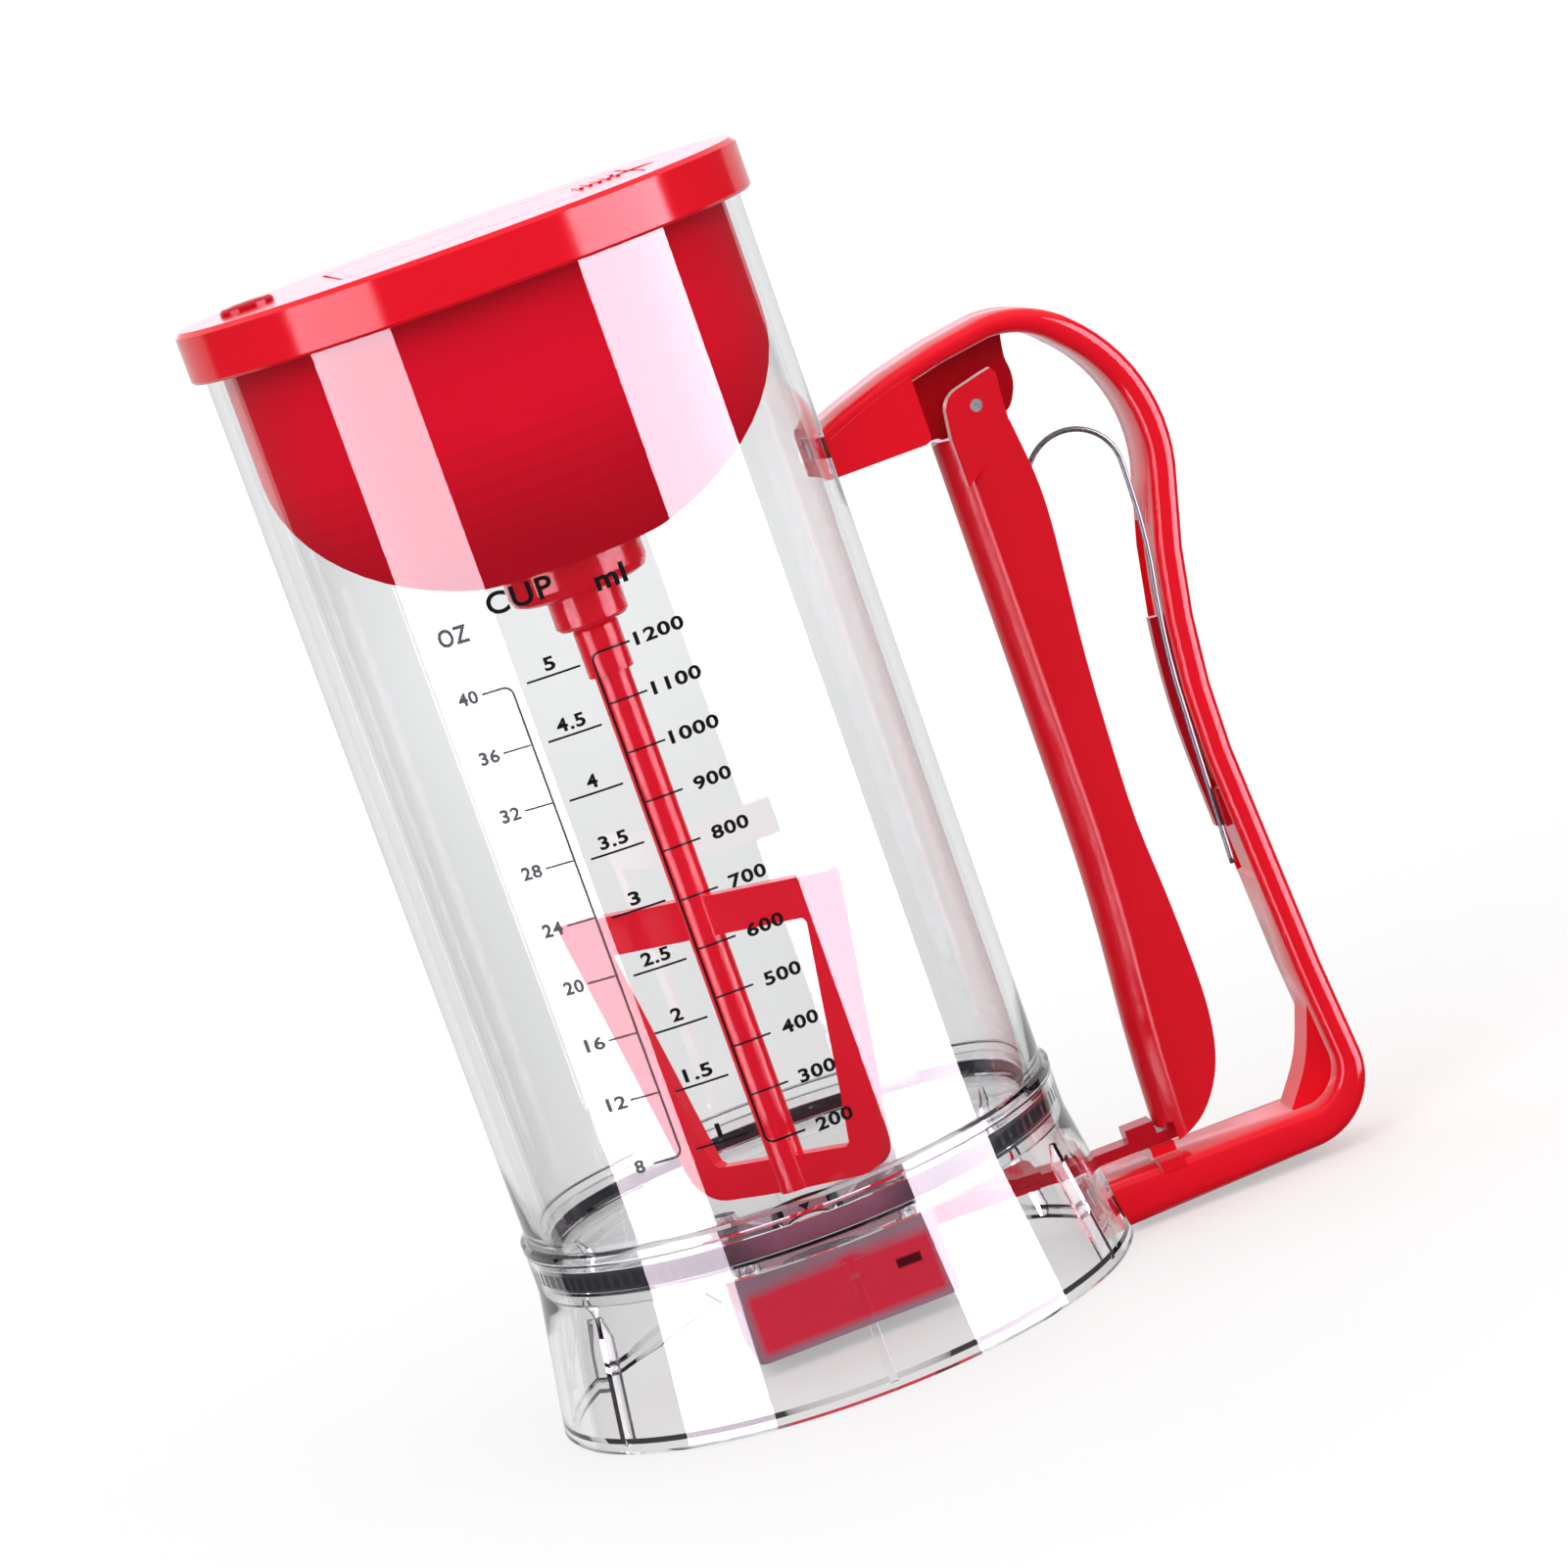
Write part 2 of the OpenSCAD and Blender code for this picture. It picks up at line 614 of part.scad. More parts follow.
module return_spring() {
    color(steel) {
        translate([loop_c[0], 0, loop_c[1]]) rotate([90, 0, 0])
            rotate_extrude(angle = 150) translate([loop_r, 0]) circle(r = wire_r);
        for (a = [0, 150]) translate([loop_c[0] + loop_r * cos(a), 0, loop_c[1] + loop_r * sin(a)])
            sphere(r = wire_r * 1.06, $fn = 24);
        wire([for (p = spring_low) [p[0], 0, p[1]]], wire_r);
        wire([for (p = spring_high) [p[0], 0, p[1]]], wire_r);
    }
}

// the channel's section, where it starts below the grip's top (degrees of the curve), and the
// keeper's stations in it
channel_from = 3;
channel = [[-band_in - 2, -band_w + 2.6], [-band_in - 2, band_w - 2.6],
    [-band_in + channel_d, band_w - 2.6], [-band_in + channel_d, -band_w + 2.6]];
keeper_line = [for (q = face_line) if (q[1] < 122 && q[1] > 68) q];

module keeper_posts() {
    n = len(keeper_line);
    for (q = [keeper_line[1], keeper_line[n - 2]])
        let (p = beside(q, band_in - channel_d - 2))
            translate([p[0], 2.8, p[1]]) rotate([0, 180 - q[2], 0]) cylinder(r = 1, h = 3, $fn = 24);
}

// rib on the channel's floor along the stations, each with its own height
module keeper_rib(line, high, y, w) {
    n = len(line) - 1;
    translate([0, y + w / 2, 0]) upright(w) polygon(concat(
        [for (q = line) beside(q, band_in - channel_d + 0.05)],
        [for (i = [n : -1 : 0]) beside(line[i], high[i])]));
}

module spring_keeper() {
    // rib beside the spring's leg, and a rest under the leg at its foot
    n = len(keeper_line);
    foot = [keeper_line[n - 2], keeper_line[n - 1]];
    color(deep) {
        keeper_rib(keeper_line, [for (q = keeper_line) band_in + 1.4], wire_r + 0.6, 3.2);
        keeper_rib(foot, [for (q = foot) leg_at(q) - wire_r - 0.05], -4, 6);
        keeper_posts();
    }
}

// ---- trigger ----

// front edge of the trigger from its top down to the foot, and the back edge in side view
nose_start = [79, nose_top, -90];
nose_steps = [[0, nose_top - 87.5], [418, 5.2], [418, -5.2]];
back_edge = curve([[76.2, 13.9], [78, 13.9], [81.1, 15.4], [85.4, 18.4], [89.2, 23.2], [92, 29.6],
    [93.5, 38], [93.8, 48], [93.3, 64], [92.3, 82], [92.7, 100], [93.6, 118], [95, 134],
    [96.2, 148], [96.2, 158], [94.85, nose_top]], 3);

// section of the trigger, d inside its surface and b long: x to the left of the path
function trigger_outline(d, b) = concat(
    [[b, trigger_w - d]], [[b, -trigger_w + d]],
    [for (i = [0 : 12]) let (a = 270 - 15 * i)
        [trigger_w + (trigger_w - d) * cos(a), (trigger_w - d) * sin(a)]]);

module trigger() {
    t = trigger_wall;
    color(red) difference() {
        union() {
            intersection() {
                swept(nose_start, nose_steps, trigger_outline(0, 26), 1.5);
                upright(2 * trigger_w + 2) polygon(concat(
                    [[70, 14.6]], back_edge,
                    [[nose_start[0] + 0.8, nose_top], [nose_start[0], nose_top - 0.8],
                        [70, nose_top - 1.5]]));
            }
            // ears on both sides of the handle's lug
            for (s = [-1, 1]) translate([0, s * (ear_in + trigger_w) / 2, 0])
                upright(trigger_w - ear_in) polygon(concat(
                    [[82.2, 160], [82.1, 170.5]],
                    [for (a = [180 : -15 : 105])
                        [pin_x - 1.6 + 5 * cos(a), pin_z - 0.3 + 5 * sin(a)]],
                    [[92.5, 181.5], [94.6, 181.9], [95.4, 180.6], [94.9, 175], [94.7, 168]]));
        }
        // hollow behind the finger face, open at the back, with a bridge across it
        difference() {
            swept([nose_start[0], nose_top - t, -90],
                [[0, nose_top - 87.5 - t], [418, 5.2], [418, -5.2], [0, 6]],
                trigger_outline(t, 28), 1.5);
            translate([72, -trigger_w, 88]) cube([18, 2 * trigger_w, 2]);
            // bar with the rounded edge that works the pull rod
            translate([edge_x - edge_r, -trigger_w, edge_z])
                cube([2 * edge_r, 2 * trigger_w, 4.4]);
            translate([edge_x, 0, edge_z]) rotate([90, 0, 0])
                cylinder(r = edge_r, h = 2 * trigger_w, center = true);
            for (s = [-1, 1]) translate([0, s * (ear_in + trigger_w) / 2, 0])
                upright(trigger_w - ear_in) polygon([[82, nose_top], [82, 164], [85, 160],
                    [98, 160], [98, nose_top]]);
        }
        // notch over the pull rod, and relief beside the edge for the rod's lugs
        difference() {
            translate([60, -trigger_w + t, 10]) cube([edge_x - 60 + 8, 2 * (trigger_w - t), edge_z - 10]);
            translate([edge_x, 0, edge_z]) rotate([90, 0, 0])
                cylinder(r = edge_r, h = 2 * trigger_w, center = true);
        }
        translate([60, -rod_w - 0.5, edge_z])
            cube([edge_x - edge_r + 0.3 - 60, 2 * rod_w + 1, lug_top - edge_z + 1.2]);
        translate([edge_x + edge_r - 0.1, -rod_w - 0.5, edge_z])
            cube([8, 2 * rod_w + 1, lug_top - edge_z + 1.2]);
        // relief under the handle's lug
        translate([nose_start[0] + 2.4, -ear_in, nose_top - 0.7]) cube([20, 2 * ear_in, 4]);
        translate([pin_x, 0, pin_z]) rotate([90, 0, 0])
            cylinder(r = pin_r + fit, h = 30, center = true);
    }
}

// ---- lid ----

module lid_cover() {
    color(red) difference() {
        union() {
            rotate_extrude() polygon([
                [0, lid_z], [rim_in, lid_z], [rim_in, top_z - rim_h + 0.8],
                [rim_in + 0.5, top_z - rim_h], [lid_r - 0.5, top_z - rim_h],
                [lid_r, top_z - rim_h + 0.6], [lid_r, top_z - 1], [lid_r - 1, top_z],
                [0, top_z]]);
            // frame and ledge round the battery bay
            translate([bay_x, 0, tray_top - flange_t - 1.4])
                linear_extrude(height = top_z - tray_top + flange_t + 1)
                    rounded_plate(open_l + 4, open_w + 4, open_c + 2);
            // posts for the switch board
            for (s = [-1, 1]) translate([switch_x, s * post_y, board_z + board_t])
                cylinder(r = 2.2, h = lid_z - board_z - board_t + 1);
        }
        translate([bay_x, 0, tray_top - flange_t]) linear_extrude(height = 20)
            rounded_plate(open_l, open_w, open_c);
        translate([bay_x, 0, tray_top - 20]) linear_extrude(height = 40)
            rounded_plate(open_l - 2 * lip, open_w - 2 * lip, open_c - lip);
        translate([switch_x, 0, lid_z - 1]) cylinder(r = button_r + 0.1, h = 10);
        // finger notch at the hatch's end
        translate([bay_x + open_l / 2, 0, top_z - 1.2]) cylinder(r = 5, h = 3);
        for (s = [-1, 1]) translate([switch_x, s * post_y, board_z])
            cylinder(r = 0.9 + fit, h = 7);
    }
}

module battery_hatch() {
    l = open_l - 0.6;
    w = open_w - 0.6;
    color(red) difference() {
        union() {
            translate([bay_x, 0, tray_top + 0.2]) linear_extrude(height = hatch_t - 0.5)
                rounded_plate(l, w, open_c - 0.3);
            translate([bay_x, 0, tray_top + hatch_t - 0.4]) linear_extrude(height = 0.6)
                rounded_plate(l - 1, w - 1, open_c - 0.8);
            // grip ribs by the latch
            for (i = [0 : 4]) translate([bay_x + l / 2 - 12 + 2 * i, -8, top_z - 0.4])
                cube([0.9, 16, 0.8]);
        }
        translate([bay_x + l / 2 + 0.3, 0, top_z - 1.2]) cylinder(r = 5, h = 3);
    }
}

function bowl_at(z, a, b) = a * sqrt(max(0, 1 - pow((bowl_c - z) / b, 2)));

// half of the bowl's outline, with radius a and depth b below its widest level
function bowl_line(a, b, z0) = [for (i = [0 : 14])
    let (z = z0 + (bowl_c - z0) * (1 - cos(90 * i / 14))) [bowl_at(z, a, b), z]];

module motor_bowl() {
    color(red) difference() {
        union() {
            rotate_extrude() polygon(concat(
                [[0, bowl_z]], bowl_line(bowl_r, bowl_b, bowl_z), [[bowl_r, lid_z], [0, lid_z]]));
            // nose steps
            rotate_extrude() polygon([
                [0, neck_z], [neck_r - 0.8, neck_z], [neck_r, neck_z + 0.8], [neck_r, nose_z],
                [nose_r - 2.4, nose_z], [nose_r - 0.7, nose_z + 0.7], [nose_r, nose_z + 2.4],
                [nose_r, bowl_z + 1], [0, bowl_z + 1]]);
        }
        difference() {
            rotate_extrude() polygon(concat(
                [[0, bowl_z + bowl_wall]],
                bowl_line(bowl_in, bowl_b - bowl_wall, bowl_z + bowl_wall),
                [[bowl_in, lid_z + 1], [0, lid_z + 1]]));
            // motor well, bosses of the clamp and pillars under the battery tray
            translate([0, 0, bowl_z]) cylinder(r = motor_r + 1.7, h = 22);
            for (s = [-1, 1]) translate([0, s * clamp_y, bowl_z])
                cylinder(r = 3.2, h = motor_top - bowl_z);
            for (sx = [-1, 1]) for (sy = [-1, 1])
                translate([bay_x + sx * screw_dx, sy * screw_dy, bowl_z])
                    cylinder(r = 3, h = tray_z - bowl_z);
        }
        translate([0, 0, motor_z]) cylinder(r = motor_r + 0.1, h = 60);
        translate([0, 0, nose_z + 1.5]) cylinder(r = 6, h = motor_z - nose_z);
        translate([0, 0, neck_z + 0.4]) cylinder(r = 4, h = 20);
        translate([0, 0, neck_z - 1]) cylinder(r = spindle_r + 0.4, h = 20);
        for (s = [-1, 1]) translate([0, s * clamp_y, motor_top - 9])
            cylinder(r = 1.1 + fit, h = 20);
        for (sx = [-1, 1]) for (sy = [-1, 1])
            translate([bay_x + sx * screw_dx, sy * screw_dy, tray_z - 10])
                cylinder(r = 1.2 + fit, h = 20);
    }
}

module lid_screws() {
    color(steel) for (sx = [-1, 1]) for (sy = [-1, 1])
        translate([bay_x + sx * screw_dx, sy * screw_dy, tray_z + tray_wall])
            rotate([180, 0, 0]) screw(2.4, 1.3, 1.2, tray_wall + 9);
}

module battery_tray() {
    l = bay_l + 2 * tray_wall;
    w = bay_w + 2 * tray_wall;
    color(dark) difference() {
        union() {
            translate([bay_x, 0, tray_z]) linear_extrude(height = tray_top - tray_z)
                rounded_plate(l, w, 2.4);
            translate([bay_x, 0, tray_top - flange_t + 0.02]) linear_extrude(height = flange_t - 0.02)
                rounded_plate(open_l - 0.3, open_w - 0.3, open_c - 0.2);
        }
        translate([bay_x, 0, tray_z + tray_wall]) linear_extrude(height = 40)
            rounded_plate(bay_l, bay_w, 1.2);
        for (sx = [-1, 1]) for (sy = [-1, 1])
            translate([bay_x + sx * screw_dx, sy * screw_dy, tray_z - 1])
                cylinder(r = 1.2 + fit, h = 20);
    }
    // low ribs between the cells
    color(dark) for (i = [-1 : 1]) for (s = [-1, 1])
        translate([bay_x + i * (cell_d + 0.1) - 0.5, s * 8 - 3, tray_z + tray_wall - e])
            cube([1, 6, 1.3]);
}

cell_z = tray_z + tray_wall + 0.1 + cell_d / 2;

module cell(i) {
    s = (i % 2 == 0) ? 1 : -1;
    translate([bay_x + (i - 1.5) * (cell_d + 0.1), 0, cell_z])
        rotate([-90 * s, 0, 0]) translate([0, 0, bay_w / 2 - 0.42 - cell_l]) {
            cylinder(r = cell_d / 2, h = cell_l - 1.8);
            translate([0, 0, cell_l - 1.9]) cylinder(r = cell_d / 2 - 0.8, h = 0.8);
            translate([0, 0, cell_l - 1.2]) cylinder(r = 2.7, h = 1.2);
        }
}

module battery_1() { color([0.16, 0.17, 0.2]) cell(0); }
module battery_2() { color([0.16, 0.17, 0.2]) cell(1); }
module battery_3() { color([0.16, 0.17, 0.2]) cell(2); }
module battery_4() { color([0.16, 0.17, 0.2]) cell(3); }

module contact_springs() {
    color(steel) for (i = [0 : 3]) {
        s = (i % 2 == 0) ? 1 : -1;
        translate([bay_x + (i - 1.5) * (cell_d + 0.1), -s * (bay_w / 2 - 0.4), cell_z])
            rotate([-90 * s, 0, 0]) difference() {
                cylinder(r1 = 3.6, r2 = 2.4, h = 1.64);
                translate([0, 0, -1]) cylinder(r = 1.7, h = 4);
            }
    }
}

module contact_plates() {
    pitch = cell_d + 0.1;
    color(steel) {
        for (s = [-1, 1]) translate([bay_x + s * pitch, bay_w / 2 - 0.2, cell_z])
            cube([pitch + 9, 0.4, 9], center = true);
        translate([bay_x, -bay_w / 2 + 0.2, cell_z]) cube([pitch + 9, 0.4, 9], center = true);
        for (s = [-1, 1]) translate([bay_x + s * 1.5 * pitch, -bay_w / 2 + 0.2, cell_z])
            cube([9, 0.4, 9], center = true);
    }
}

module motor() {
    color(steel) {
        translate([0, 0, motor_z]) difference() {
            cylinder(r = motor_r, h = motor_l);
            for (a = [60, 120, 240, 300]) rotate([0, 0, a])
                translate([motor_r - 0.6, -2, motor_l - 9]) cube([3, 4, 5]);
        }
        translate([0, 0, motor_z - 1.4]) cylinder(r = 4.5, h = 1.5);
        translate([0, 0, motor_top - e]) cylinder(r = motor_r - 3, h = 1.6);
        for (s = [-1, 1]) translate([s * 5 - 0.25, -1.2, motor_top]) cube([0.5, 2.4, 5.2]);
    }
}

module motor_clamp() {
    color(dark) translate([0, 0, motor_top]) difference() {
        linear_extrude(height = clamp_t) {
            circle(r = motor_r + 1.7);
            for (s = [-1, 1]) translate([0, s * clamp_y]) circle(r = 4);
            square([6.4, 2 * clamp_y], center = true);
        }
        translate([0, 0, -1]) cylinder(r = motor_r - 3 + 0.1, h = 10);
        for (s = [-1, 1]) translate([0, s * clamp_y, -1]) cylinder(r = 1.2 + fit, h = 10);
    }
}

module clamp_screws() {
    color(steel) for (s = [-1, 1]) translate([0, s * clamp_y, motor_top + clamp_t])
        rotate([180, 0, 0]) screw(2.4, 1.5, 1.1, clamp_t + 8);
}

module switch_board() {
    color([0.12, 0.36, 0.2]) difference() {
        translate([switch_x - 4, -post_y - 2.2, board_z]) cube([8, 2 * post_y + 4.4, board_t]);
        for (s = [-1, 1]) translate([switch_x, s * post_y, board_z - 1])
            cylinder(r = 1 + fit, h = 4);
    }
}

module switch_body() {
    color(dark) {
        translate([switch_x - 3.1, -3.1, board_z + board_t]) cube([6.2, 6.2, 3.4]);
        translate([switch_x, 0, board_z + board_t + 3.4 - e]) cylinder(r = 1.7, h = 1);
    }
}

module board_screws() {
    color(steel) for (s = [-1, 1]) translate([switch_x, s * post_y, board_z])
        screw(1.9, 1.2, 0.9, board_t + 5);
}

module switch_button() {
    cap_z = lid_z - 1.3;
    low = board_z + board_t + 4.4 + button_travel + 0.3;
    color(deep) difference() {
        union() {
            translate([switch_x, 0, cap_z - e]) cylinder(r = button_r, h = top_z + button_up - cap_z - 0.6);
            translate([switch_x, 0, top_z + button_up - 0.6 - 2 * e])
                cylinder(r1 = button_r, r2 = button_r - 0.6, h = 0.6);
            translate([switch_x, 0, cap_z - 1]) cylinder(r = button_r + 1.2, h = 1);
            translate([switch_x, 0, low]) cylinder(r = 2.2, h = cap_z - low);
        }
        translate([switch_x, 0, top_z + button_up + 11.3]) sphere(r = 12);
    }
}

module wires() {
    z0 = board_z - 0.7;
    mt = motor_top + 5;
    tx = bay_l / 2 + tray_wall + 0.65;
    color([0.1, 0.1, 0.1]) {
        wire([[switch_x + 2, 3, z0], [-38, 2.6, mt + 4], [-12, 0.5, mt + 2], [-5.9, 0, mt - 1]], 0.7);
        wire([[switch_x + 2, -3, z0], [-36, -9, z0 - 3], [-27.4, -20, tray_z + 5],
            [bay_x - tx, -22, cell_z - 3]], 0.7);
        wire([[bay_x + tx, -22, cell_z - 3], [bay_x + tx + 0.4, -20, tray_z - 1],
            [12, 0, mt + 1.6], [5.9, 0, mt - 0.8]], 0.7);
    }
}

module nose_bush() {
    color([0.8, 0.62, 0.3]) translate([0, 0, neck_z + 0.4]) tube(4, spindle_r + fit, 6.6);
}

module shaft_seal() {
    color(dark) translate([0, 0, nose_z + 1.5]) tube(6, spindle_r + gap, 4);
}

// ---- drive ----

module drive_spindle() {
    color(steel) translate([0, 0, drive_z - drive_l + 1.5])
        cylinder(r = spindle_r, h = motor_z - 1.5 - drive_z + drive_l - 1.5);
}

module drive_collar() {
    color(red) translate([0, 0, drive_z - drive_l]) difference() {
        union() {
            cylinder(r = collar_r, h = drive_l - 0.6);
            translate([0, 0, drive_l - 0.6 - e]) cylinder(r1 = collar_r, r2 = collar_r - 0.6, h = 0.6);
        }
        translate([0, 0, 1.4]) cylinder(r = spindle_r, h = 20);
        translate([0, 0, -1]) cylinder(r = 2.2, h = 2.2);
    }
}

module paddle() {
    h = paddle_h;
    b = paddle_bar;
    slope = (paddle_top - paddle_low) / h;
    cr = 7;
    color(red) {
        rotate([0, 0, paddle_turn]) translate([0, 0, paddle_z]) upright(paddle_t)
            difference() {
                polygon(concat(
                    [[-paddle_top, h - 0.8], [-paddle_top + 0.8, h],
                        [paddle_top - 0.8, h], [paddle_top, h - 0.8]],
                    [for (a = [0 : 15 : 90])
                        [paddle_low - cr + cr * cos(a) + slope * cr * (1 - sin(a)), cr - cr * sin(a)]],
                    [for (a = [90 : 15 : 180])
                        [-paddle_low + cr + cr * cos(a) - slope * cr * (1 - sin(a)), cr - cr * sin(a)]]));
                for (s = [-1, 1]) polygon([
                    [s * (shaft_r - 0.6), b], [s * (paddle_low + slope * b - b - 1), b],
                    [s * (paddle_low + slope * (b + 1) - b), b + 1],
                    [s * (paddle_low + slope * (h - b - 1) - b), h - b - 1],
                    [s * (paddle_low + slope * (h - b) - b - 1), h - b],
                    [s * (shaft_r - 0.6), h - b]]);
            }
        translate([0, 0, paddle_z]) cylinder(r = shaft_r, h = drive_z - drive_l - 0.1 - paddle_z);
        translate([0, 0, drive_z - drive_l - 0.2]) cylinder(r = 2.15, h = 1.4);
    }
}

jug();
base_skirt();
seal_ring();
valve_housing();
valve_seal();
valve_screws();
handle();
handle_screws();
pivot_pin();
spring_keeper();
return_spring();
trigger();
valve_gate();
pull_rod();
lid_cover();
motor_bowl();
lid_screws();
battery_tray();
battery_1();
battery_2();
battery_3();
battery_4();
contact_springs();
contact_plates();
motor();
motor_clamp();
clamp_screws();
switch_board();
switch_body();
board_screws();
wires();
nose_bush();
shaft_seal();
battery_hatch();
switch_button();
drive_spindle();
drive_collar();
paddle();
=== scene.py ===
import json
import math

import bmesh
import bpy
from mathutils import Matrix, Vector
from mathutils.bvhtree import BVHTree


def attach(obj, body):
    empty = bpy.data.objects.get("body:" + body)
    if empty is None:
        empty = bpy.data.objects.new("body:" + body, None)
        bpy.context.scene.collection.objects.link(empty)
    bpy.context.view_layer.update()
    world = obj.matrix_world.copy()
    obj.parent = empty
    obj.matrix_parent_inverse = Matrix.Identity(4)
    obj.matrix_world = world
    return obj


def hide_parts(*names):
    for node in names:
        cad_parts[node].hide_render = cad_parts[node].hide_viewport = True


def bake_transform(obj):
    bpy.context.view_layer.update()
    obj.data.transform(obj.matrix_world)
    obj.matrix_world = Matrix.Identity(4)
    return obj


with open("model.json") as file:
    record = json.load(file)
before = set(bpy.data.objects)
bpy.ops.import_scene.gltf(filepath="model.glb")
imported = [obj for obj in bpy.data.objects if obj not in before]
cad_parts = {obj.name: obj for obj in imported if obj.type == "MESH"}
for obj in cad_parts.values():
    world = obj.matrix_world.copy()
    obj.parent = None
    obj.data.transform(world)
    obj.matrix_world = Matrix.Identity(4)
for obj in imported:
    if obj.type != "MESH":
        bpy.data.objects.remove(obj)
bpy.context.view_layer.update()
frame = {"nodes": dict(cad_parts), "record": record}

MM = 0.001
WHITE = (1, 1, 1, 1)
nodes = frame["nodes"]
scene = bpy.context.scene


# ---- colours and shader nodes ----

def linear(r, g, b):
    """A display colour of 0 to 255 as linear light."""
    def one(v):
        v /= 255.0
        return v / 12.92 if v <= 0.04045 else ((v + 0.055) / 1.055) ** 2.4
    return (one(r), one(g), one(b), 1.0)


def shade(colour, k):
    """The colour, lighter or darker by a factor."""
    return tuple(min(part * k, 1) for part in colour[:3]) + (1,)


def new_material(name):
    """An empty procedural material: itself, its node tree and its output node."""
    mat = bpy.data.materials.new(name)
    mat.use_nodes = True
    nt = mat.node_tree
    nt.nodes.clear()
    return mat, nt, nt.nodes.new("ShaderNodeOutputMaterial")


def add(nt, kind, dials=None, **settings):
    """A new node with its settings, and with the input values that `dials` names."""
    node = nt.nodes.new(kind)
    for key, value in settings.items():
        setattr(node, key, value)
    for key, value in (dials or {}).items():
        node.inputs[key].default_value = value
    return node


def feed(nt, value, socket):
    """Links another node's output to the socket, or sets the socket to a plain value."""
    if isinstance(value, bpy.types.NodeSocket):
        nt.links.new(value, socket)
    else:
        socket.default_value = value


def maths(nt, operation, *values):
    """The result of one math node, whose values are numbers or other nodes' outputs."""
    node = add(nt, "ShaderNodeMath", operation=operation)
    for value, socket in zip(values, node.inputs):
        feed(nt, value, socket)
    return node.outputs[0]


# a mix node's sockets by number: factor, first value, second value, and its result
MIX_SOCKETS = {"FLOAT": (0, 2, 3, 0), "RGBA": (0, 6, 7, 2)}


def mixed(nt, kind, factor, first, second):
    """A number or a colour between two others, all of them plain values or outputs."""
    node = add(nt, "ShaderNodeMix", data_type=kind)
    *inputs, result = MIX_SOCKETS[kind]
    for value, number in zip((factor, first, second), inputs):
        feed(nt, value, node.inputs[number])
    return node.outputs[result]


def either(nt, factor, first, second):
    """The first shader where the factor is 0, the second where it is 1."""
    node = add(nt, "ShaderNodeMixShader")
    for value, socket in zip((factor, first, second), node.inputs):
        nt.links.new(value, socket)
    return node.outputs[0]


def coordinates(nt):
    """The object's own coordinates, in metres."""
    return add(nt, "ShaderNodeTexCoord").outputs["Object"]


def noise(nt, vector, scale, detail=3.0, rough=0.5):
    node = add(nt, "ShaderNodeTexNoise", {"Scale": scale, "Detail": detail, "Roughness": rough})
    nt.links.new(vector, node.inputs["Vector"])
    return node.outputs["Fac"]


def remap(nt, value, low, high, from_low=0.3, from_high=0.7, curve="LINEAR"):
    """The value with one range turned into another. A noise mostly lies in the plain first range."""
    node = add(nt, "ShaderNodeMapRange", {"From Min": from_low, "From Max": from_high,
                                          "To Min": low, "To Max": high}, interpolation_type=curve)
    nt.links.new(value, node.inputs["Value"])
    return node.outputs["Result"]


def bump(nt, height, strength, distance):
    node = add(nt, "ShaderNodeBump", {"Strength": strength, "Distance": distance})
    nt.links.new(height, node.inputs["Height"])
    return node.outputs["Normal"]


def see_through(nt, colour=WHITE):
    return add(nt, "ShaderNodeBsdfTransparent", {"Color": colour}).outputs["BSDF"]


def after_gloss(nt):
    """1 for light that has bounced off a shiny surface, 0 for other light."""
    path = add(nt, "ShaderNodeLightPath")
    return maths(nt, "GREATER_THAN", path.outputs["Glossy Depth"], 0.5)


# ---- materials ----

CLOUD, WAVE, GRAIN = 38.0, 60.0, 900.0      # scales of the plastic's noises, per metre
WAVE_DEPTH, GRAIN_DEPTH = 0.00012, 0.0002   # metres


def plastic(name, colour, rough=0.22, vary=0.05, grain=0.0, metal=0.0, spec=0.5, rough_vary=0.05):
    """Moulded plastic, rubber or metal: a faint cloud of tone, flow waviness, and grain if asked for."""
    mat, nt, out = new_material(name)
    bsdf = add(nt, "ShaderNodeBsdfPrincipled", {"Metallic": metal, "Specular IOR Level": spec})
    at = coordinates(nt)
    cloud = remap(nt, noise(nt, at, CLOUD, detail=2.0), 0, 1)
    tone = mixed(nt, "RGBA", cloud, shade(colour, 1 - vary), shade(colour, 1 + vary))
    nt.links.new(tone, bsdf.inputs["Base Color"])
    fine = noise(nt, at, GRAIN, detail=4.0, rough=0.6)
    nt.links.new(remap(nt, fine, rough - rough_vary, rough + rough_vary), bsdf.inputs["Roughness"])
    height = noise(nt, at, WAVE, detail=1.0)
    if grain:
        height = mixed(nt, "FLOAT", grain, height, fine)
    depth = GRAIN_DEPTH if grain else WAVE_DEPTH
    nt.links.new(bump(nt, height, strength=0.25, distance=depth), bsdf.inputs["Normal"])
    nt.links.new(bsdf.outputs["BSDF"], out.inputs["Surface"])
    return mat


def glossy_red(name, colour):
    """The outer red plastic, in which the strips of light show as clear bands."""
    return plastic(name, colour, rough=0.13, vary=0.02, spec=0.2, rough_vary=0.02)


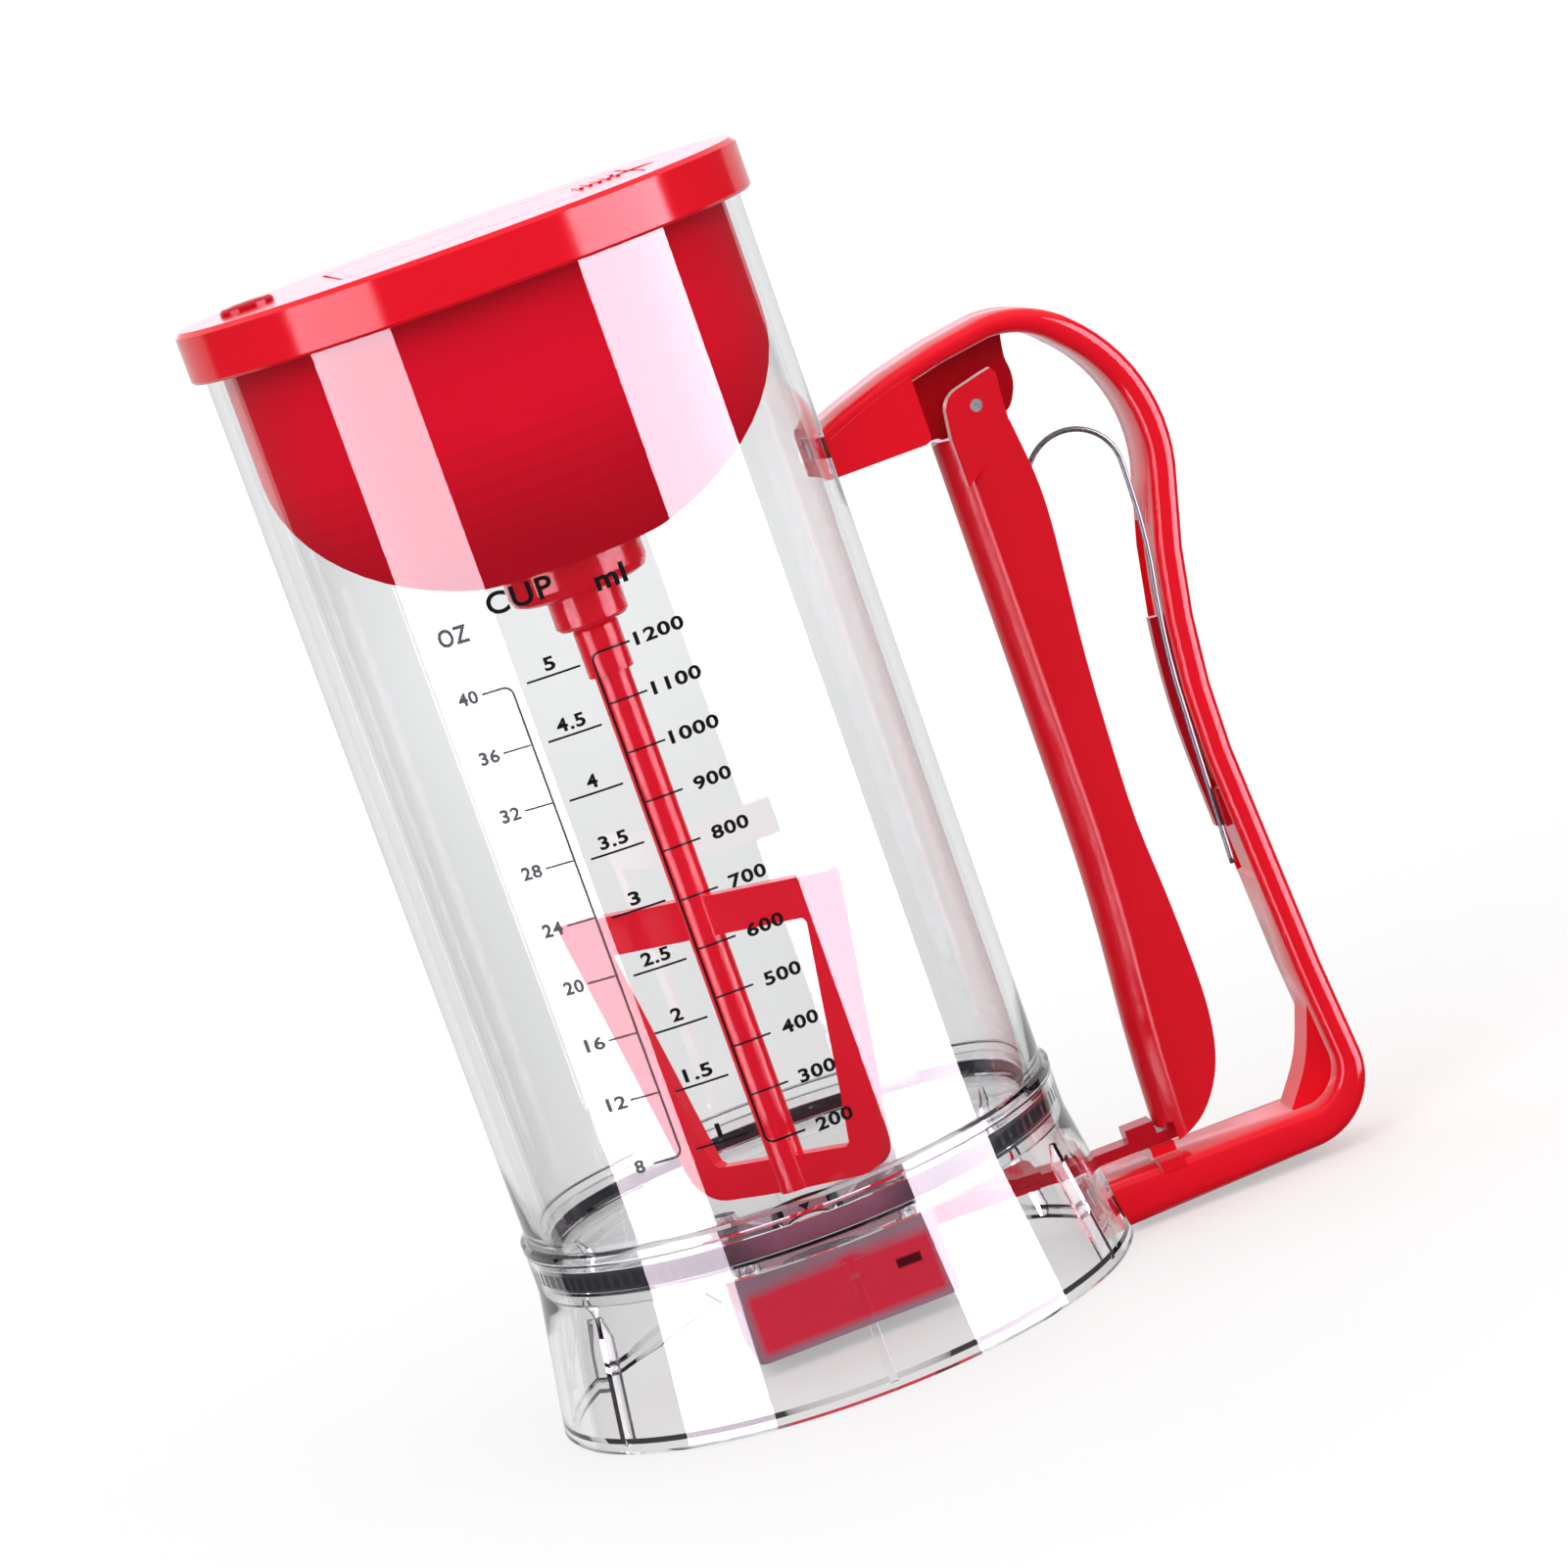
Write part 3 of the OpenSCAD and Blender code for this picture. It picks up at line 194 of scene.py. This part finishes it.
def clear_plastic(name, tint, density):
    """Clear moulded plastic: lamps shine through it, and thick stretches look greyer than thin ones."""
    mat, nt, out = new_material(name)
    bsdf = add(nt, "ShaderNodeBsdfPrincipled",
               {"Base Color": (0.965, 0.968, 0.97, 1), "Transmission Weight": 1.0, "IOR": 1.5,
                "Roughness": 0.0})
    wave = noise(nt, coordinates(nt), scale=26.0, detail=1.0)
    nt.links.new(bump(nt, wave, strength=0.015, distance=0.0004), bsdf.inputs["Normal"])
    path = add(nt, "ShaderNodeLightPath")
    lighting = maths(nt, "MAXIMUM", path.outputs["Is Shadow Ray"], path.outputs["Is Diffuse Ray"])
    surface = either(nt, lighting, bsdf.outputs["BSDF"], see_through(nt, (0.97, 0.97, 0.97, 1)))
    nt.links.new(surface, out.inputs["Surface"])
    dim = add(nt, "ShaderNodeVolumeAbsorption", {"Color": tint, "Density": density})
    nt.links.new(dim.outputs["Volume"], out.inputs["Volume"])
    return mat


def within(nt, ranges, soft):
    """1 inside a box of object coordinates in mm, falling to 0 over `soft` mm outside it."""
    parts = add(nt, "ShaderNodeSeparateXYZ")
    nt.links.new(coordinates(nt), parts.inputs[0])
    result = 1.0
    for axis, (low, high) in ranges.items():
        middle, half = (low + high) / 2, (high - low) / 2
        away = maths(nt, "ABSOLUTE", maths(nt, "SUBTRACT", parts.outputs[axis], middle * MM))
        step = remap(nt, away, 1.0, 0.0, half * MM, (half + soft) * MM)
        result = maths(nt, "MULTIPLY", result, step)
    return result


def toned(mat, boxes):
    """Turns a plastic's colour towards another one inside boxes: (ranges, soft, colour, amount)."""
    nt = mat.node_tree
    base = next(n for n in nt.nodes if n.type == "BSDF_PRINCIPLED").inputs["Base Color"]
    for ranges, soft, colour, amount in boxes:
        share = maths(nt, "MULTIPLY", within(nt, ranges, soft), amount)
        nt.links.new(mixed(nt, "RGBA", share, base.links[0].from_socket, colour), base)
    return mat


RED = linear(228, 20, 38)
mats = {
    "clear_plastic": clear_plastic("clear_plastic", (0.5, 0.52, 0.54, 1), 42.0),
    "red_plastic": glossy_red("red_plastic", RED),
    "deep_red_plastic": plastic("deep_red_plastic", linear(182, 14, 34), rough=0.2, vary=0.03, spec=0.2),
    "seal_rubber": plastic("seal_rubber", linear(24, 25, 29), rough=0.55, grain=0.3, spec=0.2),
    "steel": plastic("steel", linear(196, 198, 202), rough=0.28, metal=0.6, vary=0.04),
    "spring_wire": plastic("spring_wire", linear(104, 104, 108), rough=0.35, metal=0.5, vary=0.08),
    "contact_metal": plastic("contact_metal", linear(200, 200, 196), rough=0.3, metal=1.0),
    "dark_plastic": plastic("dark_plastic", linear(42, 42, 45), rough=0.5, grain=0.5),
    "cell_sleeve": plastic("cell_sleeve", linear(64, 68, 78), rough=0.3, vary=0.1),
    "motor_can": plastic("motor_can", linear(176, 178, 184), rough=0.35, metal=1.0),
    "board": plastic("board", linear(40, 104, 66), rough=0.4, grain=0.3),
    "wire_sleeve": plastic("wire_sleeve", linear(34, 34, 36), rough=0.45),
    "bush_brass": plastic("bush_brass", linear(196, 160, 90), rough=0.3, metal=1.0),
}
# reds behind the clear walls: the bowl and the gate are matt, the shaft with its paddle is polished
bowl_red = plastic("red_plastic_inside", linear(244, 14, 46), rough=0.35, vary=0.02, spec=0.0)
gate_red = plastic("deep_red_plastic_inside", linear(200, 14, 46), rough=0.3, vary=0.06, spec=0.05)
shaft_red = plastic("red_plastic_turned", linear(250, 16, 46), rough=0.14, vary=0.02, spec=0.35)

# the valve block: a red core between smoky edges, with painted shade where the slot of its latch lies in
# front
valve_block = plastic("valve_block", linear(168, 132, 148), rough=0.3, vary=0.12, spec=0.05)
core = {"X": (-18.5, 20.5), "Z": (5.5, 16)}
latch_slot_shade = {"X": (13, 18), "Y": (-20, 0), "Z": (12, 13.4)}
toned(valve_block, [(core, 2.0, linear(238, 50, 76), 1.0), (latch_slot_shade, 0.4, linear(84, 4, 14), 1.0)])

# painted reflection: the front of the sealing ring is tinted purple with the red of the valve block below
# it
ring_rubber = plastic("ring_rubber", linear(40, 41, 46), rough=0.55, grain=0.3, spec=0.2)
ring_front_reflection = {"X": (-12, 8), "Y": (-80, -30)}
toned(ring_rubber, [(ring_front_reflection, 14.0, linear(150, 84, 108), 0.8)])

# painted shade: the recess round the trigger's hinge is darkened in the handle's colour
hinge_recess_shade = {"X": (78.1, 100), "Y": (-8, 8), "Z": (165, 187)}
handle_red = toned(glossy_red("handle_red", RED), [(hinge_recess_shade, 1.5, linear(150, 6, 18), 0.85)])
trigger_red = glossy_red("trigger_red", linear(214, 22, 38))

ink_black = plastic("ink_black", linear(26, 26, 28), rough=0.6, vary=0.1, spec=0.0)
ink_grey = plastic("ink_grey", linear(96, 96, 100), rough=0.6, vary=0.1, spec=0.0)

# a node has the material of its slot, or its own one from here
OWN = {"motor_bowl": bowl_red, "valve_gate": gate_red, "drive_collar": shaft_red, "paddle": shaft_red,
       "valve_housing": valve_block}
slot_of = {s["node"]: s["material_slot"] for s in frame["record"]["subparts"]}
for name, obj in nodes.items():
    obj.data.materials.clear()
    obj.data.materials.append(OWN.get(name, mats[slot_of[name]]))

# the bowl's nose and neck are as polished as the shaft below them
NOSE_TOP = 0.1735        # metres
bowl = nodes["motor_bowl"].data
bowl.materials.append(shaft_red)
for face in bowl.polygons:
    if face.center.z < NOSE_TOP:
        face.material_index = 1

# ---- printed scale on the jug's outer wall ----

jug_mesh = nodes["jug"].data
jug_tree = BVHTree.FromPolygons([v.co for v in jug_mesh.vertices],
                                [p.vertices for p in jug_mesh.polygons])
WALL_Z = (0.06, 0.17)    # metres, two heights at which the wall's radius is measured
WALL_R = [(jug_tree.ray_cast(Vector((-1, 0, z)), Vector((1, 0, 0)))[0].xy).length for z in WALL_Z]
MM_PER_DEGREE = math.radians(1) * (WALL_R[0] + WALL_R[1]) / 2 / MM
INK_GAP = 0.02           # mm between the wall and the ink
INK = 0.05               # mm, how thick it is printed
DIGITS = 2.8             # mm, height of the numbers
BOLD = 0.03              # how far the letters' edges are moved out, in text of size 1


def on_wall(turn, z, lift):
    """A point of the wall: turn in degrees from -Y towards +X, z and lift in mm."""
    k = (z * MM - WALL_Z[0]) / (WALL_Z[1] - WALL_Z[0])
    r = WALL_R[0] + k * (WALL_R[1] - WALL_R[0]) + (INK_GAP + lift) * MM
    a = math.radians(turn)
    return Vector((r * math.sin(a), -r * math.cos(a), z * MM))


def skin(bm, rings):
    """Faces between rings of as many vertices each, with both ends closed."""
    for one, other in zip(rings, rings[1:]):
        n = len(one)
        for i in range(n):
            bm.faces.new((one[i], one[(i + 1) % n], other[(i + 1) % n], other[i]))
    bm.faces.new(rings[0][::-1])
    bm.faces.new(rings[-1])


def new_object(name, mesh, mat):
    """An object of the scene with that mesh and material."""
    mesh.materials.append(mat)
    obj = bpy.data.objects.new(name, mesh)
    scene.collection.objects.link(obj)
    return obj


def finished_mesh(name, bm):
    """A new mesh from what was built in `bm`, which is freed."""
    mesh = bpy.data.meshes.new(name)
    bm.to_mesh(mesh)
    bm.free()
    return mesh


def print_line(bm, points, width):
    """An inked line through (turn, z) points, with mitred corners."""
    flat = [Vector((t * MM_PER_DEGREE, z)) for t, z in points]
    rings = []
    for i, p in enumerate(flat):
        before = (p - flat[i - 1]).normalized() if i else (flat[1] - p).normalized()
        after = (flat[i + 1] - p).normalized() if i < len(flat) - 1 else before
        across = Vector((-(before + after).y, (before + after).x)).normalized()
        across *= width / 2 / max(across.dot(Vector((-before.y, before.x))), 0.3)
        corners = []
        for side, lift in ((1, 0), (1, INK), (-1, INK), (-1, 0)):
            q = p + side * across
            corners.append(bm.verts.new(on_wall(q.x / MM_PER_DEGREE, q.y, lift)))
        rings.append(corners)
    skin(bm, rings)


def print_word(bm, word, turn, z, height, width, anchor="left", bold=BOLD):
    """A word with its lower edge at z; turn is its left edge or its middle."""
    data = bpy.data.curves.new("word", "FONT")
    data.body = word
    data.extrude = 0.1
    data.offset = bold
    data.resolution_u = 5
    data.space_character = 1.1
    obj = bpy.data.objects.new("word", data)
    scene.collection.objects.link(obj)
    bpy.context.view_layer.update()
    mesh = bpy.data.meshes.new_from_object(obj.evaluated_get(bpy.context.evaluated_depsgraph_get()))
    bpy.data.objects.remove(obj)
    xs = [v.co.x for v in mesh.vertices]
    ys = [v.co.y for v in mesh.vertices]
    start = turn if anchor == "left" else turn - width / 2 / MM_PER_DEGREE
    part = bmesh.new()
    part.from_mesh(mesh)
    for v in part.verts:
        across = (v.co.x - min(xs)) / (max(xs) - min(xs)) * width / MM_PER_DEGREE
        up = (v.co.y - min(ys)) / (max(ys) - min(ys)) * height
        v.co = on_wall(start + across, z + up, INK if v.co.z > 0 else 0)
    bmesh.ops.remove_doubles(part, verts=part.verts, dist=1e-6)
    part.to_mesh(mesh)
    part.free()
    bm.from_mesh(mesh)
    bpy.data.meshes.remove(mesh)


def printed(name, bm, mat):
    """Puts one inked column into the scene, where it stays with the jug."""
    bmesh.ops.recalc_face_normals(bm, faces=bm.faces)
    obj = new_object(name, finished_mesh(name, bm), mat)
    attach(obj, "stand")


def bracket(turn, low, high, end, round_mm, steps=6):
    """Points of an upright line whose two ends turn through a quarter round to a last tick."""
    side = 1 if end > turn else -1
    corner = []
    for i in range(steps + 1):
        a = math.radians(90 * i / steps)
        corner.append((round_mm * (1 - math.cos(a)), round_mm * (1 - math.sin(a))))
    lower = [(turn + side * x / MM_PER_DEGREE, low + y) for x, y in corner]
    upper = [(turn + side * x / MM_PER_DEGREE, high - y) for x, y in corner]
    return [(end, low)] + lower[::-1] + upper + [(end, high)]


def print_millilitres():
    """200 to 1200 ml, right of a bracket; the heights follow the volume."""
    low, step, count = 55.4, 10.47, 11
    line, ticks = -7.5, (-7.2, -3.3, 0.6)
    heights = [low + step * i for i in range(count)]
    bm = bmesh.new()
    print_line(bm, bracket(line, heights[0], heights[-1], ticks[-1], round_mm=1.6), width=0.45)
    for i, z in enumerate(heights):
        if 0 < i < count - 1:
            print_line(bm, [(turn, z) for turn in ticks], width=0.4)
        word = str(200 + 100 * i)
        left = 1.6 if len(word) == 4 else 3.0
        print_word(bm, word, left, z - DIGITS / 2, DIGITS, width=2.6 * len(word) + 0.1)
    print_word(bm, "ml", -1.9, 171.4, height=4.2, width=6.4)
    printed("scale_ml", bm, ink_black)


def print_cups():
    """1 to 5 cups by halves, each number on a short rule."""
    low, step, count = 58.8, 12.5, 9
    middle, rule = -15.8, (-21.4, -18.6, -15.8, -12.9, -10.1)
    bm = bmesh.new()
    for i in range(count):
        z = low + step * i
        word = str((i + 2) / 2) if i % 2 else str(i // 2 + 1)
        # a lone 1 is a bare stroke
        width = 6.0 if len(word) > 1 else 1.0 if word == "1" else 2.3
        print_line(bm, [(turn, z) for turn in rule], width=0.42)
        print_word(bm, word, middle, z + 1.0, DIGITS, width, "middle")
    print_word(bm, "CUP", -16.8, 173.6, height=4.6, width=14.0, anchor="middle", bold=0.02)
    printed("scale_cup", bm, ink_black)


def print_ounces():
    """8 to 40 ounces in lighter ink, left of a bracket."""
    heights = [58.3, 72.1, 85.0, 97.35, 109.8, 122.1, 134.45, 146.8, 159.3]
    line, middle, ticks = -24.7, -34.5, (-31.2, -28.0, -25.0)
    bm = bmesh.new()
    print_line(bm, bracket(line, heights[0], heights[-1], ticks[0], round_mm=1.8), width=0.5)
    for i, z in enumerate(heights):
        if 0 < i < len(heights) - 1:
            print_line(bm, [(turn, z) for turn in ticks], width=0.42)
        width = 4.6 if i else 2.2
        print_word(bm, str(8 + 4 * i), middle, z - DIGITS / 2, DIGITS, width, "middle")
    print_word(bm, "OZ", -32.8, 170.2, height=3.8, width=7.0, anchor="middle")
    printed("scale_oz", bm, ink_grey)


print_millilitres()
print_cups()
print_ounces()

# ---- return spring: one bent wire from the grip's channel to the trigger ----

WIRE_R = 0.6             # mm


def tube(name, path, radius, mat, sides=12):
    """A round wire along points in mm that lie in the plane Y = 0."""
    bm = bmesh.new()
    points = [Vector(p) for p in path]
    depth = Vector((0, 1, 0))
    rings = []
    for i, p in enumerate(points):
        along = (points[min(i + 1, len(points) - 1)] - points[max(i - 1, 0)]).normalized()
        across = along.cross(depth)
        turns = [2 * math.pi * k / sides for k in range(sides)]
        rings.append([bm.verts.new((p + radius * (math.cos(a) * across + math.sin(a) * depth)) * MM)
                      for a in turns])
    skin(bm, rings)
    bmesh.ops.recalc_face_normals(bm, faces=bm.faces)
    for f in bm.faces:
        f.smooth = len(f.verts) == 4
    return new_object(name, finished_mesh(name, bm), mat)


def smooth_path(points, steps=6):
    """A curve through the points (Catmull and Rom's), with some steps between each two."""
    p = [Vector(q) for q in points]
    p = [2 * p[0] - p[1]] + p + [2 * p[-1] - p[-2]]
    out = []
    for a, b, c, d in zip(p, p[1:], p[2:], p[3:]):
        for k in range(steps):
            t = k / steps
            out.append(0.5 * (2 * b + (c - a) * t + (2 * a - 5 * b + 4 * c - d) * t ** 2
                              + (3 * b - a - 3 * c + d) * t ** 3))
    return out + [p[-2]]


def arc(middle, radius, last, step=10):
    """Points in X and Z on a circle, from straight right of its middle on to `last` degrees."""
    turns = [math.radians(a) for a in range(0, last + 1, step)]
    return [(middle[0] + radius * math.cos(a), middle[1] + radius * math.sin(a)) for a in turns]


# X and Z in mm: the leg in the channel, the bend, and the leg behind the trigger
long_leg = [(110.3, 64.6), (110.55, 73.0), (110.8, 81.4), (111.0, 89.7), (111.27, 98.2),
            (111.6, 106.7), (112.35, 115.1), (113.5, 123.6), (114.8, 131.5), (115.5, 138.5),
            (115.85, 146.0)]
bend = arc((105.6, 153.0), 10.3, 150)
short_leg = [(92.8, 151.4), (89.2, 144.9), (85.6, 138.6), (82.4, 133.0)]
route = smooth_path([(x, 0, z) for x, z in long_leg + bend + short_leg])
wire = tube("hairpin_spring", route, WIRE_R, mats["spring_wire"])
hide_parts("return_spring")
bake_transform(wire)

# ---- mouldings: the CAD's form with smooth surfaces ----

CREASE = 36.0            # degrees; sharper edges stay edges
CLEAR_CREASE = 16.0      # the same for clear pieces, in which false shading shows as a dark smear
SAME_PLACE = 2e-6        # metres


def smoothed(node, name, mat, body, crease=CREASE):
    """The node's own form without its facets: edges flatter than the crease are shaded smooth."""
    bm = bmesh.new()
    bm.from_mesh(nodes[node].data)
    bmesh.ops.remove_doubles(bm, verts=bm.verts, dist=SAME_PLACE)
    verts = [v.co.copy() for v in bm.verts]
    bm.verts.index_update()
    faces = [[v.index for v in f.verts] for f in bm.faces]
    bm.free()
    mesh = bpy.data.meshes.new(name)
    mesh.from_pydata(verts, [], faces)
    bm = bmesh.new()
    bm.from_mesh(mesh)
    for f in bm.faces:
        f.smooth = True
    for edge in bm.edges:
        edge.smooth = len(edge.link_faces) == 2 and edge.calc_face_angle() < math.radians(crease)
    bm.to_mesh(mesh)
    bm.free()
    obj = new_object(name, mesh, mat)
    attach(obj, body)
    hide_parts(node)
    return obj


handle = smoothed("handle", "handle_moulding", handle_red, "stand")
trigger = smoothed("trigger", "trigger_moulding", trigger_red, "trigger")
# the picture's jug doesn't mirror these two, so its edge stays grey
handle.visible_glossy = False
trigger.visible_glossy = False
smoothed("base_skirt", "skirt_moulding", mats["clear_plastic"], "stand", CLEAR_CREASE)
smoothed("seal_ring", "ring_moulding", ring_rubber, "stand")
smoothed("jug", "jug_moulding", mats["clear_plastic"], "stand", CLEAR_CREASE)

# ---- light paths and world ----

scene.view_settings.view_transform = "Standard"
scene.cycles.max_bounces = 24
scene.cycles.transmission_bounces = 24
scene.cycles.transparent_max_bounces = 24
scene.cycles.glossy_bounces = 8
scene.cycles.sample_clamp_indirect = 8.0


def seen_rays(nt):
    """1 for camera, glossy and transmission rays, 0 for the rays that light the object."""
    path = add(nt, "ShaderNodeLightPath")
    straight = maths(nt, "MAXIMUM", path.outputs["Is Camera Ray"], path.outputs["Is Glossy Ray"])
    return maths(nt, "MAXIMUM", straight, path.outputs["Is Transmission Ray"])


world = bpy.data.worlds.new("room")
scene.world = world
world.use_nodes = True
nt = world.node_tree
nt.nodes.clear()
out = nt.nodes.new("ShaderNodeOutputWorld")
fill = add(nt, "ShaderNodeBackground", {"Color": WHITE, "Strength": 0.95})
white = add(nt, "ShaderNodeBackground", {"Color": WHITE, "Strength": 1.0})
nt.links.new(either(nt, seen_rays(nt), fill.outputs[0], white.outputs[0]), out.inputs["Surface"])

# ---- floor ----

PAPER = (0.42, 0.42, 0.42, 1)
# the paper's own glow is a little lower near the object, where its soft shadow falls
NEAR, FAR = 0.3, 2.0     # metres
GLOW_NEAR, GLOW_FAR = 0.46, 0.68

bpy.ops.mesh.primitive_plane_add(size=12, location=(0, 0, -0.0002))
floor = bpy.context.object
floor.name = "floor"
mat, nt, out = new_material("floor_paper")
lit = add(nt, "ShaderNodeBsdfDiffuse", {"Color": PAPER})
glow = add(nt, "ShaderNodeEmission")
fibres = remap(nt, noise(nt, coordinates(nt), scale=5.0), 0, 1)
nt.links.new(mixed(nt, "RGBA", fibres, (0.995, 0.995, 0.995, 1), WHITE), glow.inputs["Color"])
reach = add(nt, "ShaderNodeVectorMath", operation="LENGTH")
nt.links.new(coordinates(nt), reach.inputs[0])
level = remap(nt, reach.outputs["Value"], GLOW_NEAR, GLOW_FAR, NEAR, FAR, "SMOOTHSTEP")
nt.links.new(maths(nt, "MULTIPLY", seen_rays(nt), level), glow.inputs["Strength"])
both = add(nt, "ShaderNodeAddShader")
nt.links.new(lit.outputs[0], both.inputs[0])
nt.links.new(glow.outputs[0], both.inputs[1])
# light that has bounced off a shiny surface passes the floor, down to the curtains' feet
paper = either(nt, after_gloss(nt), both.outputs[0], see_through(nt))
nt.links.new(paper, out.inputs["Surface"])
floor.data.materials.append(mat)
floor.visible_glossy = False


# ---- lamps ----

def circle_point(azimuth, distance):
    """X and Y of a point that far from the origin. Azimuth 0 is in front, 90 to the right."""
    a = math.radians(azimuth)
    return distance * math.sin(a), -distance * math.cos(a)


def lamp(name, azimuth, elevation, power, distance=1.6, size=1.2):
    """A soft area lamp that the object doesn't mirror."""
    aim = Vector((0.02, 0, 0.12))
    e = math.radians(elevation)
    at = aim + Vector((*circle_point(azimuth, distance * math.cos(e)), distance * math.sin(e)))
    data = bpy.data.lights.new(name, "AREA")
    data.shape = "SQUARE"
    data.size = size
    data.energy = power
    obj = bpy.data.objects.new(name, data)
    obj.location = at
    obj.rotation_euler = (aim - at).to_track_quat("-Z", "Y").to_euler()
    obj.visible_glossy = False
    obj.visible_transmission = False
    scene.collection.objects.link(obj)


lamp("key", -38, 42, power=8)
lamp("fill", 50, 25, power=5)
lamp("top", 10, 80, power=1.2, distance=1.4)
lamp("back", 180, 40, power=6)


# ---- the room as shiny surfaces show it: dark in front, two tall strips of light, pale behind ----

def reflected(name, mesh, strength, through, colour=WHITE):
    """A glowing sheet that only shiny surfaces show. `strength` is its brightness straight off a
    surface, `through` after a bounce on the inner side of a clear wall."""
    mat, nt, out = new_material(name)
    obj = new_object(name, mesh, mat)
    # a bounce inside one wall passes the wall's surface twice; a look through the jug takes more
    depth = add(nt, "ShaderNodeLightPath").outputs["Transmission Depth"]
    level = mixed(nt, "FLOAT", maths(nt, "COMPARE", depth, 2.0, 0.5), strength, through)
    glow = add(nt, "ShaderNodeEmission", {"Color": colour})
    nt.links.new(level, glow.inputs["Strength"])
    sheet = either(nt, after_gloss(nt), see_through(nt), glow.outputs[0])
    nt.links.new(sheet, out.inputs["Surface"])
    obj.visible_camera = False
    obj.visible_diffuse = False
    obj.visible_shadow = False


def upright_sheet(name, azimuths, distance, heights, strength, through, colour=WHITE):
    """A sheet that stands round the object, between two heights."""
    line = [circle_point(azimuth, distance) for azimuth in azimuths]
    n = len(line)
    mesh = bpy.data.meshes.new(name)
    mesh.from_pydata([(x, y, z) for z in heights for x, y in line], [],
                     [(i, i + 1, n + i + 1, n + i) for i in range(n - 1)])
    reflected(name, mesh, strength, through, colour)


def curtain(name, first, last, strength, through, distance=2.5, foot=-0.4, top=2.0, step=8):
    """An upright sheet from one azimuth to another, and the ground at its foot as a fan."""
    azimuths = range(first, last + 1, step)
    upright_sheet(name, azimuths, distance, (foot, top), strength, through)
    edge = [(*circle_point(azimuth, distance), foot) for azimuth in azimuths]
    mesh = bpy.data.meshes.new(name + "_foot")
    mesh.from_pydata([(0, 0, foot)] + edge, [], [(0, i + 1, i + 2) for i in range(len(edge) - 1)])
    reflected(name + "_foot", mesh, strength, through)


DARK = 0.06
PALE, PALE_THROUGH = 0.75, 1.0
STRIP = (-0.9, 0.9)      # metres, foot and top
upright_sheet("strip_left", (-78, -41), 1.3, STRIP, strength=14.0, through=DARK, colour=(1, 0.88, 1, 1))
upright_sheet("strip_right", (38, 81), 1.3, STRIP, strength=21.0, through=DARK, colour=(1, 0.86, 1, 1))
# the lid's top mirrors this low one
upright_sheet("glare", range(140, 221, 10), 2.0, (0.25, 0.45), strength=1.5, through=1.0,
              colour=(1, 0.9, 1, 1))
curtain("curtain", -132, 132, strength=DARK, through=DARK)
curtain("curtain_back", 132, 228, strength=PALE, through=PALE_THROUGH)

# ---- camera, fitted to the picture ----

# degrees and metres; the focal length and the picture's width are in its points, the sensor in mm
CAMERA = dict(azimuth=-4.75, distance=1.20185, height=0.28878, pan=-1.2327, tilt=8.2556, roll=-19.669,
              focal=5943.3, picture=1601.0, sensor=36.0)


def place_camera(c):
    """The camera at its azimuth, turned off the object by `pan`, down by `tilt`, and rolled."""
    look = math.radians(c["azimuth"] + c["pan"])
    tilt, roll = math.radians(c["tilt"]), math.radians(c["roll"])
    forward = Vector((-math.sin(look) * math.cos(tilt), math.cos(look) * math.cos(tilt), -math.sin(tilt)))
    right = Vector((math.cos(look), math.sin(look), 0))
    up = right.cross(forward)
    x = math.cos(roll) * right + math.sin(roll) * up
    y = -math.sin(roll) * right + math.cos(roll) * up
    data = bpy.data.cameras.new("camera")
    data.sensor_fit = "HORIZONTAL"
    data.sensor_width = c["sensor"]
    data.lens = c["focal"] / c["picture"] * c["sensor"]
    data.clip_start = 0.05
    data.clip_end = 50
    cam = bpy.data.objects.new("camera", data)
    scene.collection.objects.link(cam)
    m = Matrix((x, y, -forward)).transposed().to_4x4()
    m.translation = (*circle_point(c["azimuth"], c["distance"]), c["height"])
    cam.matrix_world = m
    scene.camera = cam


place_camera(CAMERA)
